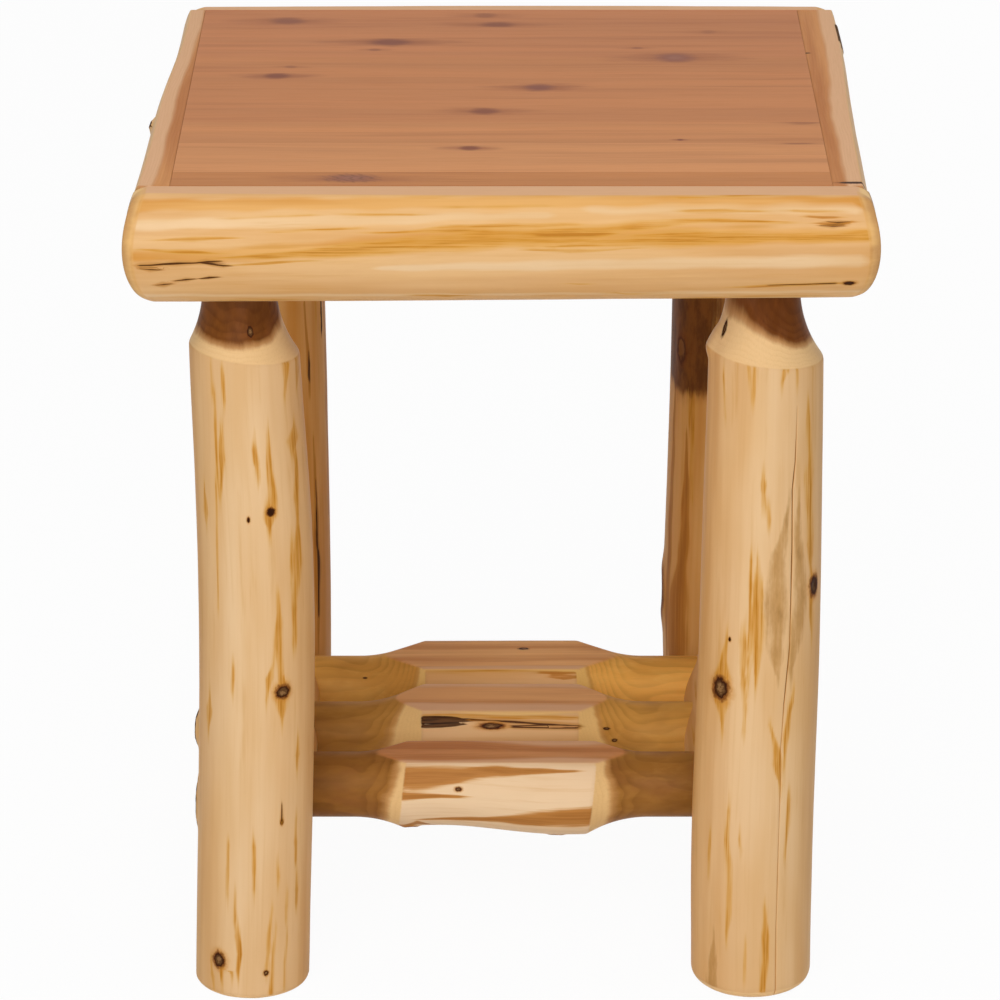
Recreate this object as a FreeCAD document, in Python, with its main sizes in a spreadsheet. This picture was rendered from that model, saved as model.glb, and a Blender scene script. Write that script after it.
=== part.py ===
import FreeCAD, Part
import Sketcher
import math
import os
import re

# Driving sizes, in millimetres
SIZES = {
    # overall height of the table
    "table_height": 609.6,
    # top panel: width left to right, thickness, and each board's width from front to rear
    "panel_width": 446,
    "panel_thickness": 22,
    "board_1_width": 31.5,
    "board_2_width": 69,
    "board_3_width": 51,
    "board_4_width": 89,
    "board_5_width": 80,
    "board_6_width": 86,
    "board_7_width": 45,
    "tongue_length": 8,
    "tongue_thickness": 7,
    # half-log rails: depth is measured from the sawn face to the roundest point,
    # and overhang from the side of the panel to the rail's end
    "rail_log_diameter": 89,
    "rail_axis_drop": 35,
    "front_rail_overhang": 31,
    "front_rail_depth": 40.5,
    "rear_rail_left_overhang": 17,
    "rear_rail_right_overhang": 31,
    "rear_rail_depth": 30,
    "side_axis_drop": 22,
    "left_rail_depth": 20,
    "right_rail_depth": 30,
    "rail_end_radius": 78,
    "rail_end_ease": 5,
    # battens under the boards
    "batten_width": 86,
    "batten_thickness": 38,
    "batten_ease": 3,
    # legs
    "front_leg_setback": 44.5,
    "rear_leg_setback": 55,
    "front_left_leg_diameter": 82,
    "front_right_leg_diameter": 87,
    "rear_left_leg_diameter": 88,
    "rear_right_leg_diameter": 94,
    "leg_tenon_diameter": 50.8,
    "leg_neck": 25,
    "foot_round": 12,
    # log shelf: a slat's place is front to rear, its rise is above the stretchers' heart,
    # and its flat is above its own
    "shelf_axis_height": 115,
    "stretcher_diameter": 84,
    "stretcher_cutter_radius": 45,
    "front_slat_diameter": 67,
    "middle_slat_diameter": 80,
    "rear_slat_diameter": 80,
    "front_slat_place": -92,
    "middle_slat_place": 0,
    "rear_slat_place": 84,
    "front_slat_rise": -1,
    "middle_slat_rise": 0,
    "rear_slat_rise": 2.5,
    "front_slat_flat": 26,
    "middle_slat_flat": 29.4,
    "rear_slat_flat": 26.8,
    "slat_neck": 31,
    "shelf_tenon_diameter": 47.6,
    # round tenons: radius of the cutter's flare, and how far a tenon passes the heart of its log
    "cutter_radius": 86,
    "tenon_reach": 6,
    # fasteners and fits
    "dowel_diameter": 8,
    "dowel_bite": 16,
    "end_dowel_bite": 12,
    "side_dowel_bite": 8,
    "rail_dowel_pitch": 120,
    "corner_dowel_diameter": 6,
    "corner_dowel_inset": 6.5,
    "corner_dowel_bite": 12,
    "screw_diameter": 5,
    "screw_head_diameter": 9.5,
    "batten_screw_bite": 14,
    "batten_screw_offset": 32,
    "leg_screw_bite": 14,
    "fit_gap": 0.3,
}

BOARD_COUNT = 7
BOARD_WIDTHS = [f"board_{number}_width" for number in range(1, BOARD_COUNT + 1)]

# Places worked out from the driving sizes: X runs left to right, Y front to rear, Z up from the floor
PLACES = {
    "panel_depth": " + ".join(BOARD_WIDTHS),
    "front_face_y": "-(front_rail_depth + panel_depth + rear_rail_depth) / 2",
    "panel_front_y": "front_face_y + front_rail_depth",
    "panel_rear_y": "panel_front_y + panel_depth",
    "panel_middle_y": "panel_front_y + panel_depth / 2",
    "panel_base_z": "table_height - panel_thickness",
    "panel_core_z": "table_height - panel_thickness / 2",
    "rail_log_radius": "rail_log_diameter / 2",
    "front_rail_length": "panel_width + 2 * front_rail_overhang",
    "rear_rail_length": "panel_width + rear_rail_left_overhang + rear_rail_right_overhang",
    "rear_rail_shift": "(rear_rail_right_overhang - rear_rail_left_overhang) / 2",
    "batten_base_z": "panel_base_z - batten_thickness",
    "batten_core_z": "panel_base_z - batten_thickness / 2",
    "leg_x": "(panel_width - batten_width) / 2",
    "front_leg_y": "panel_front_y + front_leg_setback",
    "rear_leg_y": "panel_rear_y - rear_leg_setback",
    "legs_half": "(rear_leg_y - front_leg_y) / 2",
    "legs_middle_y": "(rear_leg_y + front_leg_y) / 2",
    "leg_flare_z": "batten_base_z - leg_neck",
    "batten_screw_x": "leg_x - batten_screw_offset",
    "batten_inner_x": "leg_x - batten_width / 2",
    "tenon_radius": "leg_tenon_diameter / 2",
    "shelf_tenon_radius": "shelf_tenon_diameter / 2",
    "slat_half": "leg_x + tenon_reach",
    "slat_flare_x": "leg_x - stretcher_diameter / 2 - slat_neck",
    "corner_dowel_x": "panel_width / 2 + corner_dowel_inset",
    "corner_dowel_z": "table_height - side_axis_drop",
    "screw_head_height": "(screw_head_diameter - screw_diameter) / 2",
}

# Most that a natural log swells past its diameter, and that its heart wanders, as shares of it
LOG_SWELL = 0.06
LOG_WANDER = 0.1

# Natural shape of each log: share of the length, girth as a share of the diameter,
# and how far the heart wanders in the section's two directions, as shares of the diameter
LEG_SHAPES = {
    "front_left_leg": [
        (0.0, 1.00, 0.005, 0.000),
        (0.2, 1.00, 0.050, 0.008),
        (0.4, 1.00, 0.090, 0.012),
        (0.6, 0.985, 0.088, 0.008),
        (0.8, 0.935, 0.036, 0.000),
        (1.0, 0.93, 0.020, 0.000),
    ],
    "front_right_leg": [
        (0.0, 0.99, 0.000, 0.000),
        (0.2, 1.00, -0.008, -0.010),
        (0.4, 0.985, 0.016, -0.012),
        (0.6, 0.96, 0.026, -0.006),
        (0.8, 0.92, 0.030, 0.000),
        (1.0, 0.92, 0.020, 0.000),
    ],
    "rear_left_leg": [
        (0.0, 0.99, 0.020, 0.000),
        (0.2, 1.02, 0.035, -0.008),
        (0.4, 1.00, 0.045, -0.014),
        (0.6, 0.98, 0.045, -0.010),
        (0.8, 0.96, 0.035, 0.000),
        (1.0, 0.95, 0.020, 0.000),
    ],
    "rear_right_leg": [
        (0.0, 0.97, -0.020, 0.000),
        (0.2, 1.04, -0.058, 0.010),
        (0.4, 1.02, -0.056, 0.012),
        (0.6, 0.99, -0.045, 0.008),
        (0.8, 0.98, -0.040, 0.004),
        (1.0, 0.96, -0.030, 0.000),
    ],
}
STRETCHER_SHAPES = {
    "left_stretcher": [
        (-0.5, 0.97, 0.00, 0.00),
        (-0.2, 1.01, 0.01, -0.01),
        (0.0, 1.00, 0.02, 0.00),
        (0.2, 1.02, 0.00, 0.01),
        (0.5, 0.98, 0.00, 0.00),
    ],
    "right_stretcher": [
        (-0.5, 0.98, 0.00, 0.00),
        (-0.2, 1.02, -0.01, 0.01),
        (0.0, 1.01, -0.02, 0.01),
        (0.2, 0.99, 0.00, -0.01),
        (0.5, 0.97, 0.00, 0.00),
    ],
}
SLAT_SHAPES = {
    "front_slat": [
        (-0.5, 0.98, 0.00, 0.00),
        (-0.3, 0.99, 0.00, 0.00),
        (-0.1, 0.96, 0.01, 0.03),
        (0.1, 1.04, 0.00, -0.03),
        (0.3, 1.00, 0.00, 0.00),
        (0.5, 0.98, 0.00, 0.00),
    ],
    "middle_slat": [
        (-0.50, 0.98, 0.00, 0.00),
        (-0.15, 1.00, 0.01, 0.00),
        (0.00, 1.01, 0.00, 0.01),
        (0.15, 0.99, -0.01, 0.00),
        (0.50, 0.98, 0.00, 0.00),
    ],
    "rear_slat": [
        (-0.50, 0.98, 0.00, 0.00),
        (-0.15, 0.99, -0.01, 0.00),
        (0.00, 1.00, 0.00, 0.00),
        (0.15, 1.02, 0.01, 0.01),
        (0.50, 0.98, 0.00, 0.00),
    ],
}
RAIL_SHAPES = {
    "front_rail": [
        (-0.50, 0.985, 0.004, 0.000),
        (-0.25, 0.995, 0.001, 0.000),
        (0.00, 1.000, 0.000, 0.000),
        (0.25, 0.990, 0.003, 0.000),
        (0.50, 0.985, 0.006, 0.000),
    ],
    "rear_rail": [
        (-0.50, 0.980, -0.020, 0.000),
        (-0.25, 0.990, -0.010, 0.000),
        (0.00, 1.000, 0.000, 0.000),
        (0.25, 0.995, -0.006, 0.000),
        (0.50, 0.980, -0.016, 0.000),
    ],
    "left_rail": [
        (-0.50, 1.00, -0.088, 0.00),
        (-0.25, 0.99, -0.064, 0.00),
        (0.00, 1.00, -0.043, 0.00),
        (0.25, 0.99, 0.008, 0.00),
        (0.50, 0.98, 0.018, 0.00),
    ],
    "right_rail": [
        (-0.50, 0.97, -0.024, 0.00),
        (-0.25, 0.99, -0.024, 0.00),
        (0.00, 1.00, -0.020, 0.03),
        (0.25, 1.00, 0.001, 0.06),
        (0.50, 0.98, 0.012, 0.05),
    ],
}

doc = FreeCAD.newDocument("log_end_table")
sheet = doc.addObject("Spreadsheet::Sheet", "Sizes")
for row, (alias, size) in enumerate(SIZES.items(), start=1):
    sheet.set(f"A{row}", alias)
    sheet.set(f"B{row}", str(size))
    sheet.setAlias(f"B{row}", alias)
doc.recompute()

pieces = []

# Two places closer than this, in millimetres, are the same
SAME_PLACE = 0.01


def formula(text):
    """The text with every place written out and every size named as its cell."""
    def written_out(match):
        word = match.group(0)
        if word in PLACES:
            return "(" + formula(PLACES[word]) + ")"
        return f"Sizes.{word}" if word in SIZES else word
    return re.sub(r"[a-z][a-z_0-9]*", written_out, str(text))


def number(text):
    """What a formula comes to."""
    return float(sheet.evalExpression(formula(text)))


def place(item, x="0", y="0", z="0"):
    """Ties an object's place to the sheet."""
    for axis, text in zip("xyz", (x, y, z)):
        item.setExpression(f"Placement.Base.{axis}", formula(text))


def new_body(name, x="0", y="0", z="0"):
    """A piece of its own, placed by formulas."""
    body = doc.addObject("PartDesign::Body", name)
    body.Label = name
    place(body, x, y, z)
    pieces.append(body)
    return body


def new_sketch(body, plane, offset="0"):
    """A sketch on one of the body's own planes, moved along the plane's normal."""
    sketch = body.newObject("Sketcher::SketchObject", "sketch")
    support = [feature for feature in body.Origin.OriginFeatures if feature.Role == plane]
    sketch.AttachmentSupport = [(support[0], "")]
    sketch.MapMode = "FlatFace"
    sketch.setExpression("AttachmentOffset.Base.z", formula(offset))
    return sketch


def bind(sketch, constraint, text):
    """Adds a dimension to the sketch and ties it to a formula."""
    index = sketch.addConstraint(constraint)
    sketch.setExpression(f"Constraints[{index}]", formula(text))


def circle(sketch, across, up, diameter):
    """A circle in the sketch, with its centre and diameter tied to formulas."""
    centre = FreeCAD.Vector(number(across), number(up), 0)
    normal = FreeCAD.Vector(0, 0, 1)
    item = sketch.addGeometry(Part.Circle(centre, normal, number(diameter) / 2), False)
    bind(sketch, Sketcher.Constraint("Diameter", item, number(diameter)), diameter)
    bind(sketch, Sketcher.Constraint("DistanceX", -1, 1, item, 3, centre.x), across)
    bind(sketch, Sketcher.Constraint("DistanceY", -1, 1, item, 3, centre.y), up)


def outline(sketch, corners, arc_radius=None, arc_centre_left=True):
    """A closed outline through corners; its first side is an arc where a radius is given.

    The arc's centre lies left or right of the way from the first corner to the second.
    """
    points = [FreeCAD.Vector(number(across), number(up), 0) for across, up in corners]
    ends = []
    for index, start in enumerate(points):
        finish = points[(index + 1) % len(points)]
        if index == 0 and arc_radius:
            radius = number(arc_radius)
            chord = finish - start
            side = 1 if arc_centre_left else -1
            across_chord = FreeCAD.Vector(-chord.y, chord.x, 0).normalize() * side
            to_centre = math.sqrt(radius ** 2 - (chord.Length / 2) ** 2)
            centre = (start + finish) / 2 + across_chord * to_centre
            first, last = (start, finish) if arc_centre_left else (finish, start)
            ring = Part.Circle(centre, FreeCAD.Vector(0, 0, 1), radius)
            arc = Part.ArcOfCircle(ring, ring.parameter(first), ring.parameter(last))
            item = sketch.addGeometry(arc, False)
            bind(sketch, Sketcher.Constraint("Radius", item, radius), arc_radius)
            ends.append((item, 1, 2) if arc_centre_left else (item, 2, 1))
        else:
            item = sketch.addGeometry(Part.LineSegment(start, finish), False)
            ends.append((item, 1, 2))
    for index, (across, up) in enumerate(corners):
        item, start_point, _ = ends[index]
        before, _, before_point = ends[index - 1]
        sketch.addConstraint(Sketcher.Constraint("Coincident", before, before_point, item, start_point))
        bind(sketch, Sketcher.Constraint("DistanceX", -1, 1, item, start_point, points[index].x), across)
        bind(sketch, Sketcher.Constraint("DistanceY", -1, 1, item, start_point, points[index].y), up)


def log(body, plane, length, diameter, shape, forward=1):
    """A natural log: a loft through one circle per station of its shape."""
    sections = []
    for share, girth, across, up in shape:
        section = new_sketch(body, plane, f"({length}) * {forward * share}")
        circle(section, f"{diameter} * {across}", f"{diameter} * {up}", f"{diameter} * {girth}")
        sections.append(section)
    loft = body.newObject("PartDesign::AdditiveLoft", "log")
    loft.Profile = sections[0]
    loft.Sections = sections[1:]
    return loft


def cut(body, sketch, depth=None, reverse=False, both_ways=False):
    """Pockets the sketch out of the body, through all of it where no depth is given."""
    pocket = body.newObject("PartDesign::Pocket", "cut")
    pocket.Profile = sketch
    pocket.Reversed = reverse
    pocket.Midplane = both_ways
    if depth is None:
        pocket.Type = "ThroughAll"
    else:
        pocket.Type = "Length"
        pocket.setExpression("Length", formula(depth))
    return pocket


def turn_off(body, sketch, axis):
    """Turns the sketch's outlines off the body, as a tenon cutter does."""
    groove = body.newObject("PartDesign::Groove", "turned")
    groove.Profile = sketch
    groove.ReferenceAxis = (sketch, [axis])
    groove.Angle = 360
    return groove


def flare_reach(rise, radius):
    """How far along the log a cutter's arc runs while it rises from the tenon."""
    return f"sqrt({radius} ^ 2 - ({radius} - ({rise})) ^ 2)"


def round_edges(body, edges, radius):
    """Rounds the named edges of the body's last feature."""
    base = body.Tip
    fillet = body.newObject("PartDesign::Fillet", "eased")
    fillet.Base = (base, edges)
    fillet.setExpression("Radius", formula(radius))


def edge_names(shape, wanted):
    """The names of a shape's edges for which the test holds."""
    return [f"Edge{count}" for count, edge in enumerate(shape.Edges, start=1) if wanted(edge)]


# Top panel: tongue-and-groove boards that run left to right

def board_front_y(index):
    return " + ".join(["panel_front_y"] + BOARD_WIDTHS[:index])


def board_middle_y(index):
    return f"{board_front_y(index)} + {BOARD_WIDTHS[index]} / 2"


RAIL_DOWEL_SPOTS = [f"{step} * rail_dowel_pitch" for step in (-1.5, -0.5, 0.5, 1.5)]
DOWEL_HOLE = "dowel_diameter + fit_gap"
CORNER_HOLE = "corner_dowel_diameter + fit_gap"
SCREW_HOLE = "screw_diameter + fit_gap"


def make_board(index):
    width = BOARD_WIDTHS[index]
    is_first = index == 0
    is_last = index == BOARD_COUNT - 1
    body = new_body(f"top_board_{index + 1}", "0", board_front_y(index), "panel_base_z")
    low = "(panel_thickness - tongue_thickness) / 2"
    high = "(panel_thickness + tongue_thickness) / 2"
    corners = [("0", "0"), (width, "0")]
    if not is_last:
        tip = f"{width} + tongue_length"
        corners += [(width, low), (tip, low), (tip, high), (width, high)]
    corners += [(width, "panel_thickness"), ("0", "panel_thickness")]
    if not is_first:
        groove = "tongue_length + fit_gap"
        top, base = f"{high} + fit_gap", f"{low} - fit_gap"
        corners += [("0", top), (groove, top), (groove, base), ("0", base)]
    profile = new_sketch(body, "YZ_Plane")
    outline(profile, corners)
    pad = body.newObject("PartDesign::Pad", "board")
    pad.Profile = profile
    pad.Midplane = True
    pad.setExpression("Length", formula("panel_width"))

    pilots = new_sketch(body, "XY_Plane")
    for side in (-1, 1):
        circle(pilots, f"{side} * (batten_screw_x)", f"{width} / 2", SCREW_HOLE)
    cut(body, pilots, "batten_screw_bite + fit_gap", reverse=True)
    for side in (-1, 1):
        end = new_sketch(body, "YZ_Plane", f"{side} * panel_width / 2")
        circle(end, f"{width} / 2", "panel_thickness / 2", DOWEL_HOLE)
        cut(body, end, "dowel_bite + fit_gap", reverse=side < 0)
    if is_first or is_last:
        edge = new_sketch(body, "XZ_Plane", "0" if is_first else f"-{width}")
        for spot in RAIL_DOWEL_SPOTS:
            circle(edge, spot, "panel_thickness / 2", DOWEL_HOLE)
        cut(body, edge, "dowel_bite + fit_gap", reverse=is_last)


for board in range(BOARD_COUNT):
    make_board(board)


# Half-log rails, sawn flat inside and planed flat on top

def plane_rail(body, plane, sawn, top, inward):
    """Saws the inside flat at one place across the log and planes its top."""
    far = "rail_log_diameter"
    sketch = new_sketch(body, plane)
    outline(sketch, [
        (f"{-inward} * {far}", top),
        (sawn, top),
        (sawn, f"-{far}"),
        (f"{inward} * {far}", f"-{far}"),
        (f"{inward} * {far}", far),
        (f"{-inward} * {far}", far),
    ])
    cut(body, sketch, both_ways=True)


def dome_ends(body, length, sawn):
    """Rounds both ends of a rail, seen from the front, and eases their edges."""
    half_span = "(rail_log_radius + rail_end_ease)"
    edge_x = f"({length} / 2 - rail_end_radius + sqrt(rail_end_radius ^ 2 - {half_span} ^ 2))"
    past_x = f"({length} / 2 + rail_end_ease)"
    sketch = new_sketch(body, "XZ_Plane")
    for side in (-1, 1):
        low, high = f"{-side} * {half_span}", f"{side} * {half_span}"
        edge, past = f"{side} * {edge_x}", f"{side} * {past_x}"
        outline(sketch, [(edge, low), (edge, high), (past, high), (past, low)], "rail_end_radius")
    cut(body, sketch, both_ways=True)
    doc.recompute()
    solid = body.Shape.copy()
    solid.Placement = FreeCAD.Placement()
    domes = [face for face in solid.Faces if is_dome(face)]
    sawn_y = number(sawn)

    def is_eased(edge):
        box = edge.BoundBox
        on_sawn_face = abs(box.YMin - sawn_y) < SAME_PLACE and abs(box.YMax - sawn_y) < SAME_PLACE
        return not on_sawn_face and any(edge.isSame(other) for dome in domes for other in dome.Edges)

    round_edges(body, edge_names(solid, is_eased), "rail_end_ease")


def is_dome(face):
    """Whether a face is the rounded end of a rail."""
    surface = face.Surface
    if not isinstance(surface, Part.Cylinder):
        return False
    return abs(surface.Radius - number("rail_end_radius")) < SAME_PLACE


def make_long_rail(name, length, depth, inward, face_y, shift):
    """A rail along the front or the rear, with domed ends that stand past the side rails."""
    axis_y = f"{face_y} + {inward} * rail_log_radius"
    sawn = f"{inward} * ({depth} - rail_log_radius)"
    body = new_body(name, shift, axis_y, "table_height - rail_axis_drop")
    log(body, "YZ_Plane", length, "rail_log_diameter", RAIL_SHAPES[name])
    plane_rail(body, "YZ_Plane", sawn, "rail_axis_drop", inward)
    dome_ends(body, length, sawn)

    face = f"-({sawn})"
    dowels = new_sketch(body, "XZ_Plane", face)
    for spot in RAIL_DOWEL_SPOTS:
        circle(dowels, f"{spot} - ({shift})", "rail_axis_drop - panel_thickness / 2", DOWEL_HOLE)
    cut(body, dowels, "end_dowel_bite + fit_gap", reverse=inward > 0)
    corners = new_sketch(body, "XZ_Plane", face)
    for side in (-1, 1):
        spot = f"{side} * (corner_dowel_x) - ({shift})"
        circle(corners, spot, "rail_axis_drop - side_axis_drop", CORNER_HOLE)
    cut(body, corners, "corner_dowel_bite + fit_gap", reverse=inward > 0)


def make_side_rail(name, depth, side):
    """A rail along one side, butted between the front and rear rails."""
    sawn = f"{-side} * ({depth} - rail_log_radius)"
    axis_x = f"{side} * (panel_width / 2 + {depth} - rail_log_radius)"
    body = new_body(name, axis_x, "panel_middle_y", "table_height - side_axis_drop")
    log(body, "XZ_Plane", "panel_depth", "rail_log_diameter", RAIL_SHAPES[name], forward=-1)
    plane_rail(body, "XZ_Plane", sawn, "side_axis_drop", -side)

    dowels = new_sketch(body, "YZ_Plane", sawn)
    for index in range(BOARD_COUNT):
        middle = f"{board_middle_y(index)} - panel_middle_y"
        circle(dowels, middle, "side_axis_drop - panel_thickness / 2", DOWEL_HOLE)
    cut(body, dowels, "side_dowel_bite + fit_gap", reverse=side > 0)
    for end in (-1, 1):
        corner = new_sketch(body, "XZ_Plane", f"{-end} * (panel_depth) / 2")
        circle(corner, f"{sawn} + {side} * corner_dowel_inset", "0", CORNER_HOLE)
        cut(body, corner, "corner_dowel_bite + fit_gap", reverse=end > 0)


make_long_rail("front_rail", "front_rail_length", "front_rail_depth", 1, "front_face_y", "0")
make_long_rail("rear_rail", "rear_rail_length", "rear_rail_depth", -1, "-(front_face_y)", "rear_rail_shift")
make_side_rail("left_rail", "left_rail_depth", -1)
make_side_rail("right_rail", "right_rail_depth", 1)


# Battens under the boards, bored for the leg tenons

def countersunk_holes(body, sketch, reverse, depth):
    """Screw holes in the body, each with a seat for a countersunk head."""
    doc.recompute()
    hole = body.newObject("PartDesign::Hole", "screw_holes")
    hole.Profile = sketch
    hole.DepthType = "Dimension"
    hole.DrillPoint = "Flat"
    hole.setExpression("Depth", formula(depth))
    hole.Reversed = reverse
    hole.HoleCutType = "Countersink"
    hole.HoleCutCountersinkAngle = 90
    hole.setExpression("Diameter", formula(SCREW_HOLE))
    hole.setExpression("HoleCutDiameter", formula("screw_head_diameter + fit_gap"))
    return hole


def is_long_lower_edge(edge):
    """Whether an edge runs front to rear along the underside."""
    return edge.BoundBox.ZMax < SAME_PLACE and edge.BoundBox.XLength < SAME_PLACE


def make_batten(name, side):
    body = new_body(name, f"{side} * (leg_x)", "panel_middle_y", "batten_base_z")
    half_width, half_length = "batten_width / 2", "(panel_depth) / 2"
    profile = new_sketch(body, "XY_Plane")
    outline(profile, [
        (f"-{half_width}", f"-{half_length}"),
        (half_width, f"-{half_length}"),
        (half_width, half_length),
        (f"-{half_width}", half_length),
    ])
    pad = body.newObject("PartDesign::Pad", "batten")
    pad.Profile = profile
    pad.setExpression("Length", formula("batten_thickness"))
    doc.recompute()
    lower_edges = edge_names(pad.Shape, is_long_lower_edge)
    chamfer = body.newObject("PartDesign::Chamfer", "eased")
    chamfer.Base = (pad, lower_edges)
    chamfer.setExpression("Size", formula("batten_ease"))

    tenons = new_sketch(body, "XY_Plane")
    for leg_y in ("front_leg_y", "rear_leg_y"):
        circle(tenons, "0", f"{leg_y} - panel_middle_y", "leg_tenon_diameter + 2 * fit_gap")
    cut(body, tenons, reverse=True)
    screws = new_sketch(body, "XY_Plane")
    for index in range(BOARD_COUNT):
        middle = f"{board_middle_y(index)} - panel_middle_y"
        circle(screws, f"{-side} * batten_screw_offset", middle, SCREW_HOLE)
    countersunk_holes(body, screws, True, "batten_thickness")
    locks = new_sketch(body, "YZ_Plane", f"{-side} * batten_width / 2")
    for leg_y in ("front_leg_y", "rear_leg_y"):
        circle(locks, f"{leg_y} - panel_middle_y", "batten_thickness / 2", SCREW_HOLE)
    countersunk_holes(body, locks, side > 0, "batten_width / 2")


make_batten("left_batten", -1)
make_batten("right_batten", 1)


# Legs: natural logs with a turned tenon at the top and a mortise for the stretcher

def past_log(diameter):
    """A radius that every natural swell and wander of a log stays inside."""
    return f"{diameter} * {(1 + LOG_SWELL) / 2 + LOG_WANDER}"


def make_leg(name, side, leg_y, inward):
    diameter = f"{name}_diameter"
    body = new_body(name, f"{side} * (leg_x)", leg_y, "0")
    log(body, "XY_Plane", "panel_base_z", diameter, LEG_SHAPES[name])
    tenon = new_sketch(body, "YZ_Plane")
    outer = past_log(diameter)
    flare_end = f"leg_flare_z - {flare_reach(f'{outer} - tenon_radius', 'cutter_radius')}"
    above = "panel_base_z + leg_neck"
    outline(tenon, [
        ("tenon_radius", "leg_flare_z"),
        (outer, flare_end),
        (outer, above),
        ("tenon_radius", above),
    ], "cutter_radius")
    turn_off(body, tenon, "V_Axis")
    doc.recompute()
    foot = edge_names(body.Shape, lambda edge: edge.BoundBox.ZMax < SAME_PLACE)
    round_edges(body, foot, "foot_round")

    seat = f"{inward} * (tenon_reach + fit_gap)"
    mortise = new_sketch(body, "XZ_Plane", seat)
    circle(mortise, "0", "shelf_axis_height", "shelf_tenon_diameter + 2 * fit_gap")
    cut(body, mortise, reverse=inward < 0)
    pilot = new_sketch(body, "YZ_Plane", f"{-side} * (tenon_radius - leg_screw_bite - fit_gap)")
    circle(pilot, "0", "batten_core_z", SCREW_HOLE)
    cut(body, pilot, reverse=side < 0)


make_leg("front_left_leg", -1, "front_leg_y", 1)
make_leg("front_right_leg", 1, "front_leg_y", 1)
make_leg("rear_left_leg", -1, "rear_leg_y", -1)
make_leg("rear_right_leg", 1, "rear_leg_y", -1)


# Side stretchers between the legs, mortised for the shelf slats

SLATS = ("front_slat", "middle_slat", "rear_slat")


def turned_end(sketch, end, flare, radius, outer, past, cutter):
    """One end's outline of what the cutter takes off a log that lies along the sketch's first axis."""
    flare_end = f"{flare} - {flare_reach(f'{outer} - {radius}', cutter)}"
    outline(sketch, [
        (f"{end} * ({flare})", radius),
        (f"{end} * ({flare_end})", outer),
        (f"{end} * ({past})", outer),
        (f"{end} * ({past})", radius),
    ], cutter, arc_centre_left=end < 0)


def make_stretcher(name, side, front_leg, rear_leg):
    body = new_body(name, f"{side} * (leg_x)", "legs_middle_y", "shelf_axis_height")
    length = "2 * (legs_half + tenon_reach)"
    log(body, "XZ_Plane", length, "stretcher_diameter", STRETCHER_SHAPES[name], forward=-1)
    tenons = new_sketch(body, "YZ_Plane")
    for end, leg in ((-1, front_leg), (1, rear_leg)):
        flare = f"legs_half - {leg}_diameter * {(1 + LOG_SWELL) / 2} - fit_gap"
        turned_end(tenons, end, flare, "shelf_tenon_radius", past_log("stretcher_diameter"),
                   "legs_half + 2 * tenon_reach", "stretcher_cutter_radius")
    turn_off(body, tenons, "H_Axis")

    mortises = new_sketch(body, "YZ_Plane", f"{side} * (tenon_reach + fit_gap)")
    for slat in SLATS:
        circle(mortises, f"{slat}_place - legs_middle_y", f"{slat}_rise", "shelf_tenon_diameter + 2 * fit_gap")
    cut(body, mortises, reverse=side < 0)


make_stretcher("left_stretcher", -1, "front_left_leg", "rear_left_leg")
make_stretcher("right_stretcher", 1, "front_right_leg", "rear_right_leg")


# Shelf slats: natural logs with a planed top and a turned tenon at each end

def make_slat(name):
    diameter = f"{name}_diameter"
    body = new_body(name, "0", f"{name}_place", f"shelf_axis_height + {name}_rise")
    log(body, "YZ_Plane", "2 * slat_half", diameter, SLAT_SHAPES[name])
    tenons = new_sketch(body, "XZ_Plane")
    for end in (-1, 1):
        turned_end(tenons, end, "slat_flare_x", "shelf_tenon_radius", past_log(diameter),
                   "slat_half + tenon_reach", "cutter_radius")
    turn_off(body, tenons, "H_Axis")
    flat = new_sketch(body, "YZ_Plane")
    outline(flat, [
        (f"-{diameter}", f"{name}_flat"),
        (diameter, f"{name}_flat"),
        (diameter, diameter),
        (f"-{diameter}", diameter),
    ])
    cut(body, flat, both_ways=True)


for slat_name in SLATS:
    make_slat(slat_name)


# Dowels and screws: each kind is one group of like pieces

ALONG_X = FreeCAD.Rotation(FreeCAD.Vector(0, 1, 0), 90)
ALONG_Y = FreeCAD.Rotation(FreeCAD.Vector(1, 0, 0), -90)
ALONG_Z = FreeCAD.Rotation()
BACK_ALONG_X = FreeCAD.Rotation(FreeCAD.Vector(0, 1, 0), -90)


def rod(diameter, length, turn, x, y, z):
    """A round rod that starts at a place and runs the way it is turned."""
    item = doc.addObject("Part::Cylinder", "rod")
    item.setExpression("Radius", formula(f"({diameter}) / 2"))
    item.setExpression("Height", formula(length))
    item.Placement = FreeCAD.Placement(FreeCAD.Vector(), turn)
    place(item, x, y, z)
    return item


def screw(length, turn, x, y, z):
    """A countersunk screw with its head at a place, driven the way it is turned."""
    shank = rod("screw_diameter", length, turn, x, y, z)
    head = doc.addObject("Part::Cone", "head")
    head.setExpression("Radius1", formula("screw_head_diameter / 2"))
    head.setExpression("Radius2", formula("screw_diameter / 2"))
    head.setExpression("Height", formula("screw_head_height"))
    head.Placement = FreeCAD.Placement(FreeCAD.Vector(), turn)
    place(head, x, y, z)
    whole = doc.addObject("Part::MultiFuse", "screw")
    whole.Shapes = [shank, head]
    return whole


def group(name, items):
    """One named piece made of like separate solids."""
    compound = doc.addObject("Part::Compound", name)
    compound.Label = name
    compound.Links = items
    pieces.append(compound)


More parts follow.
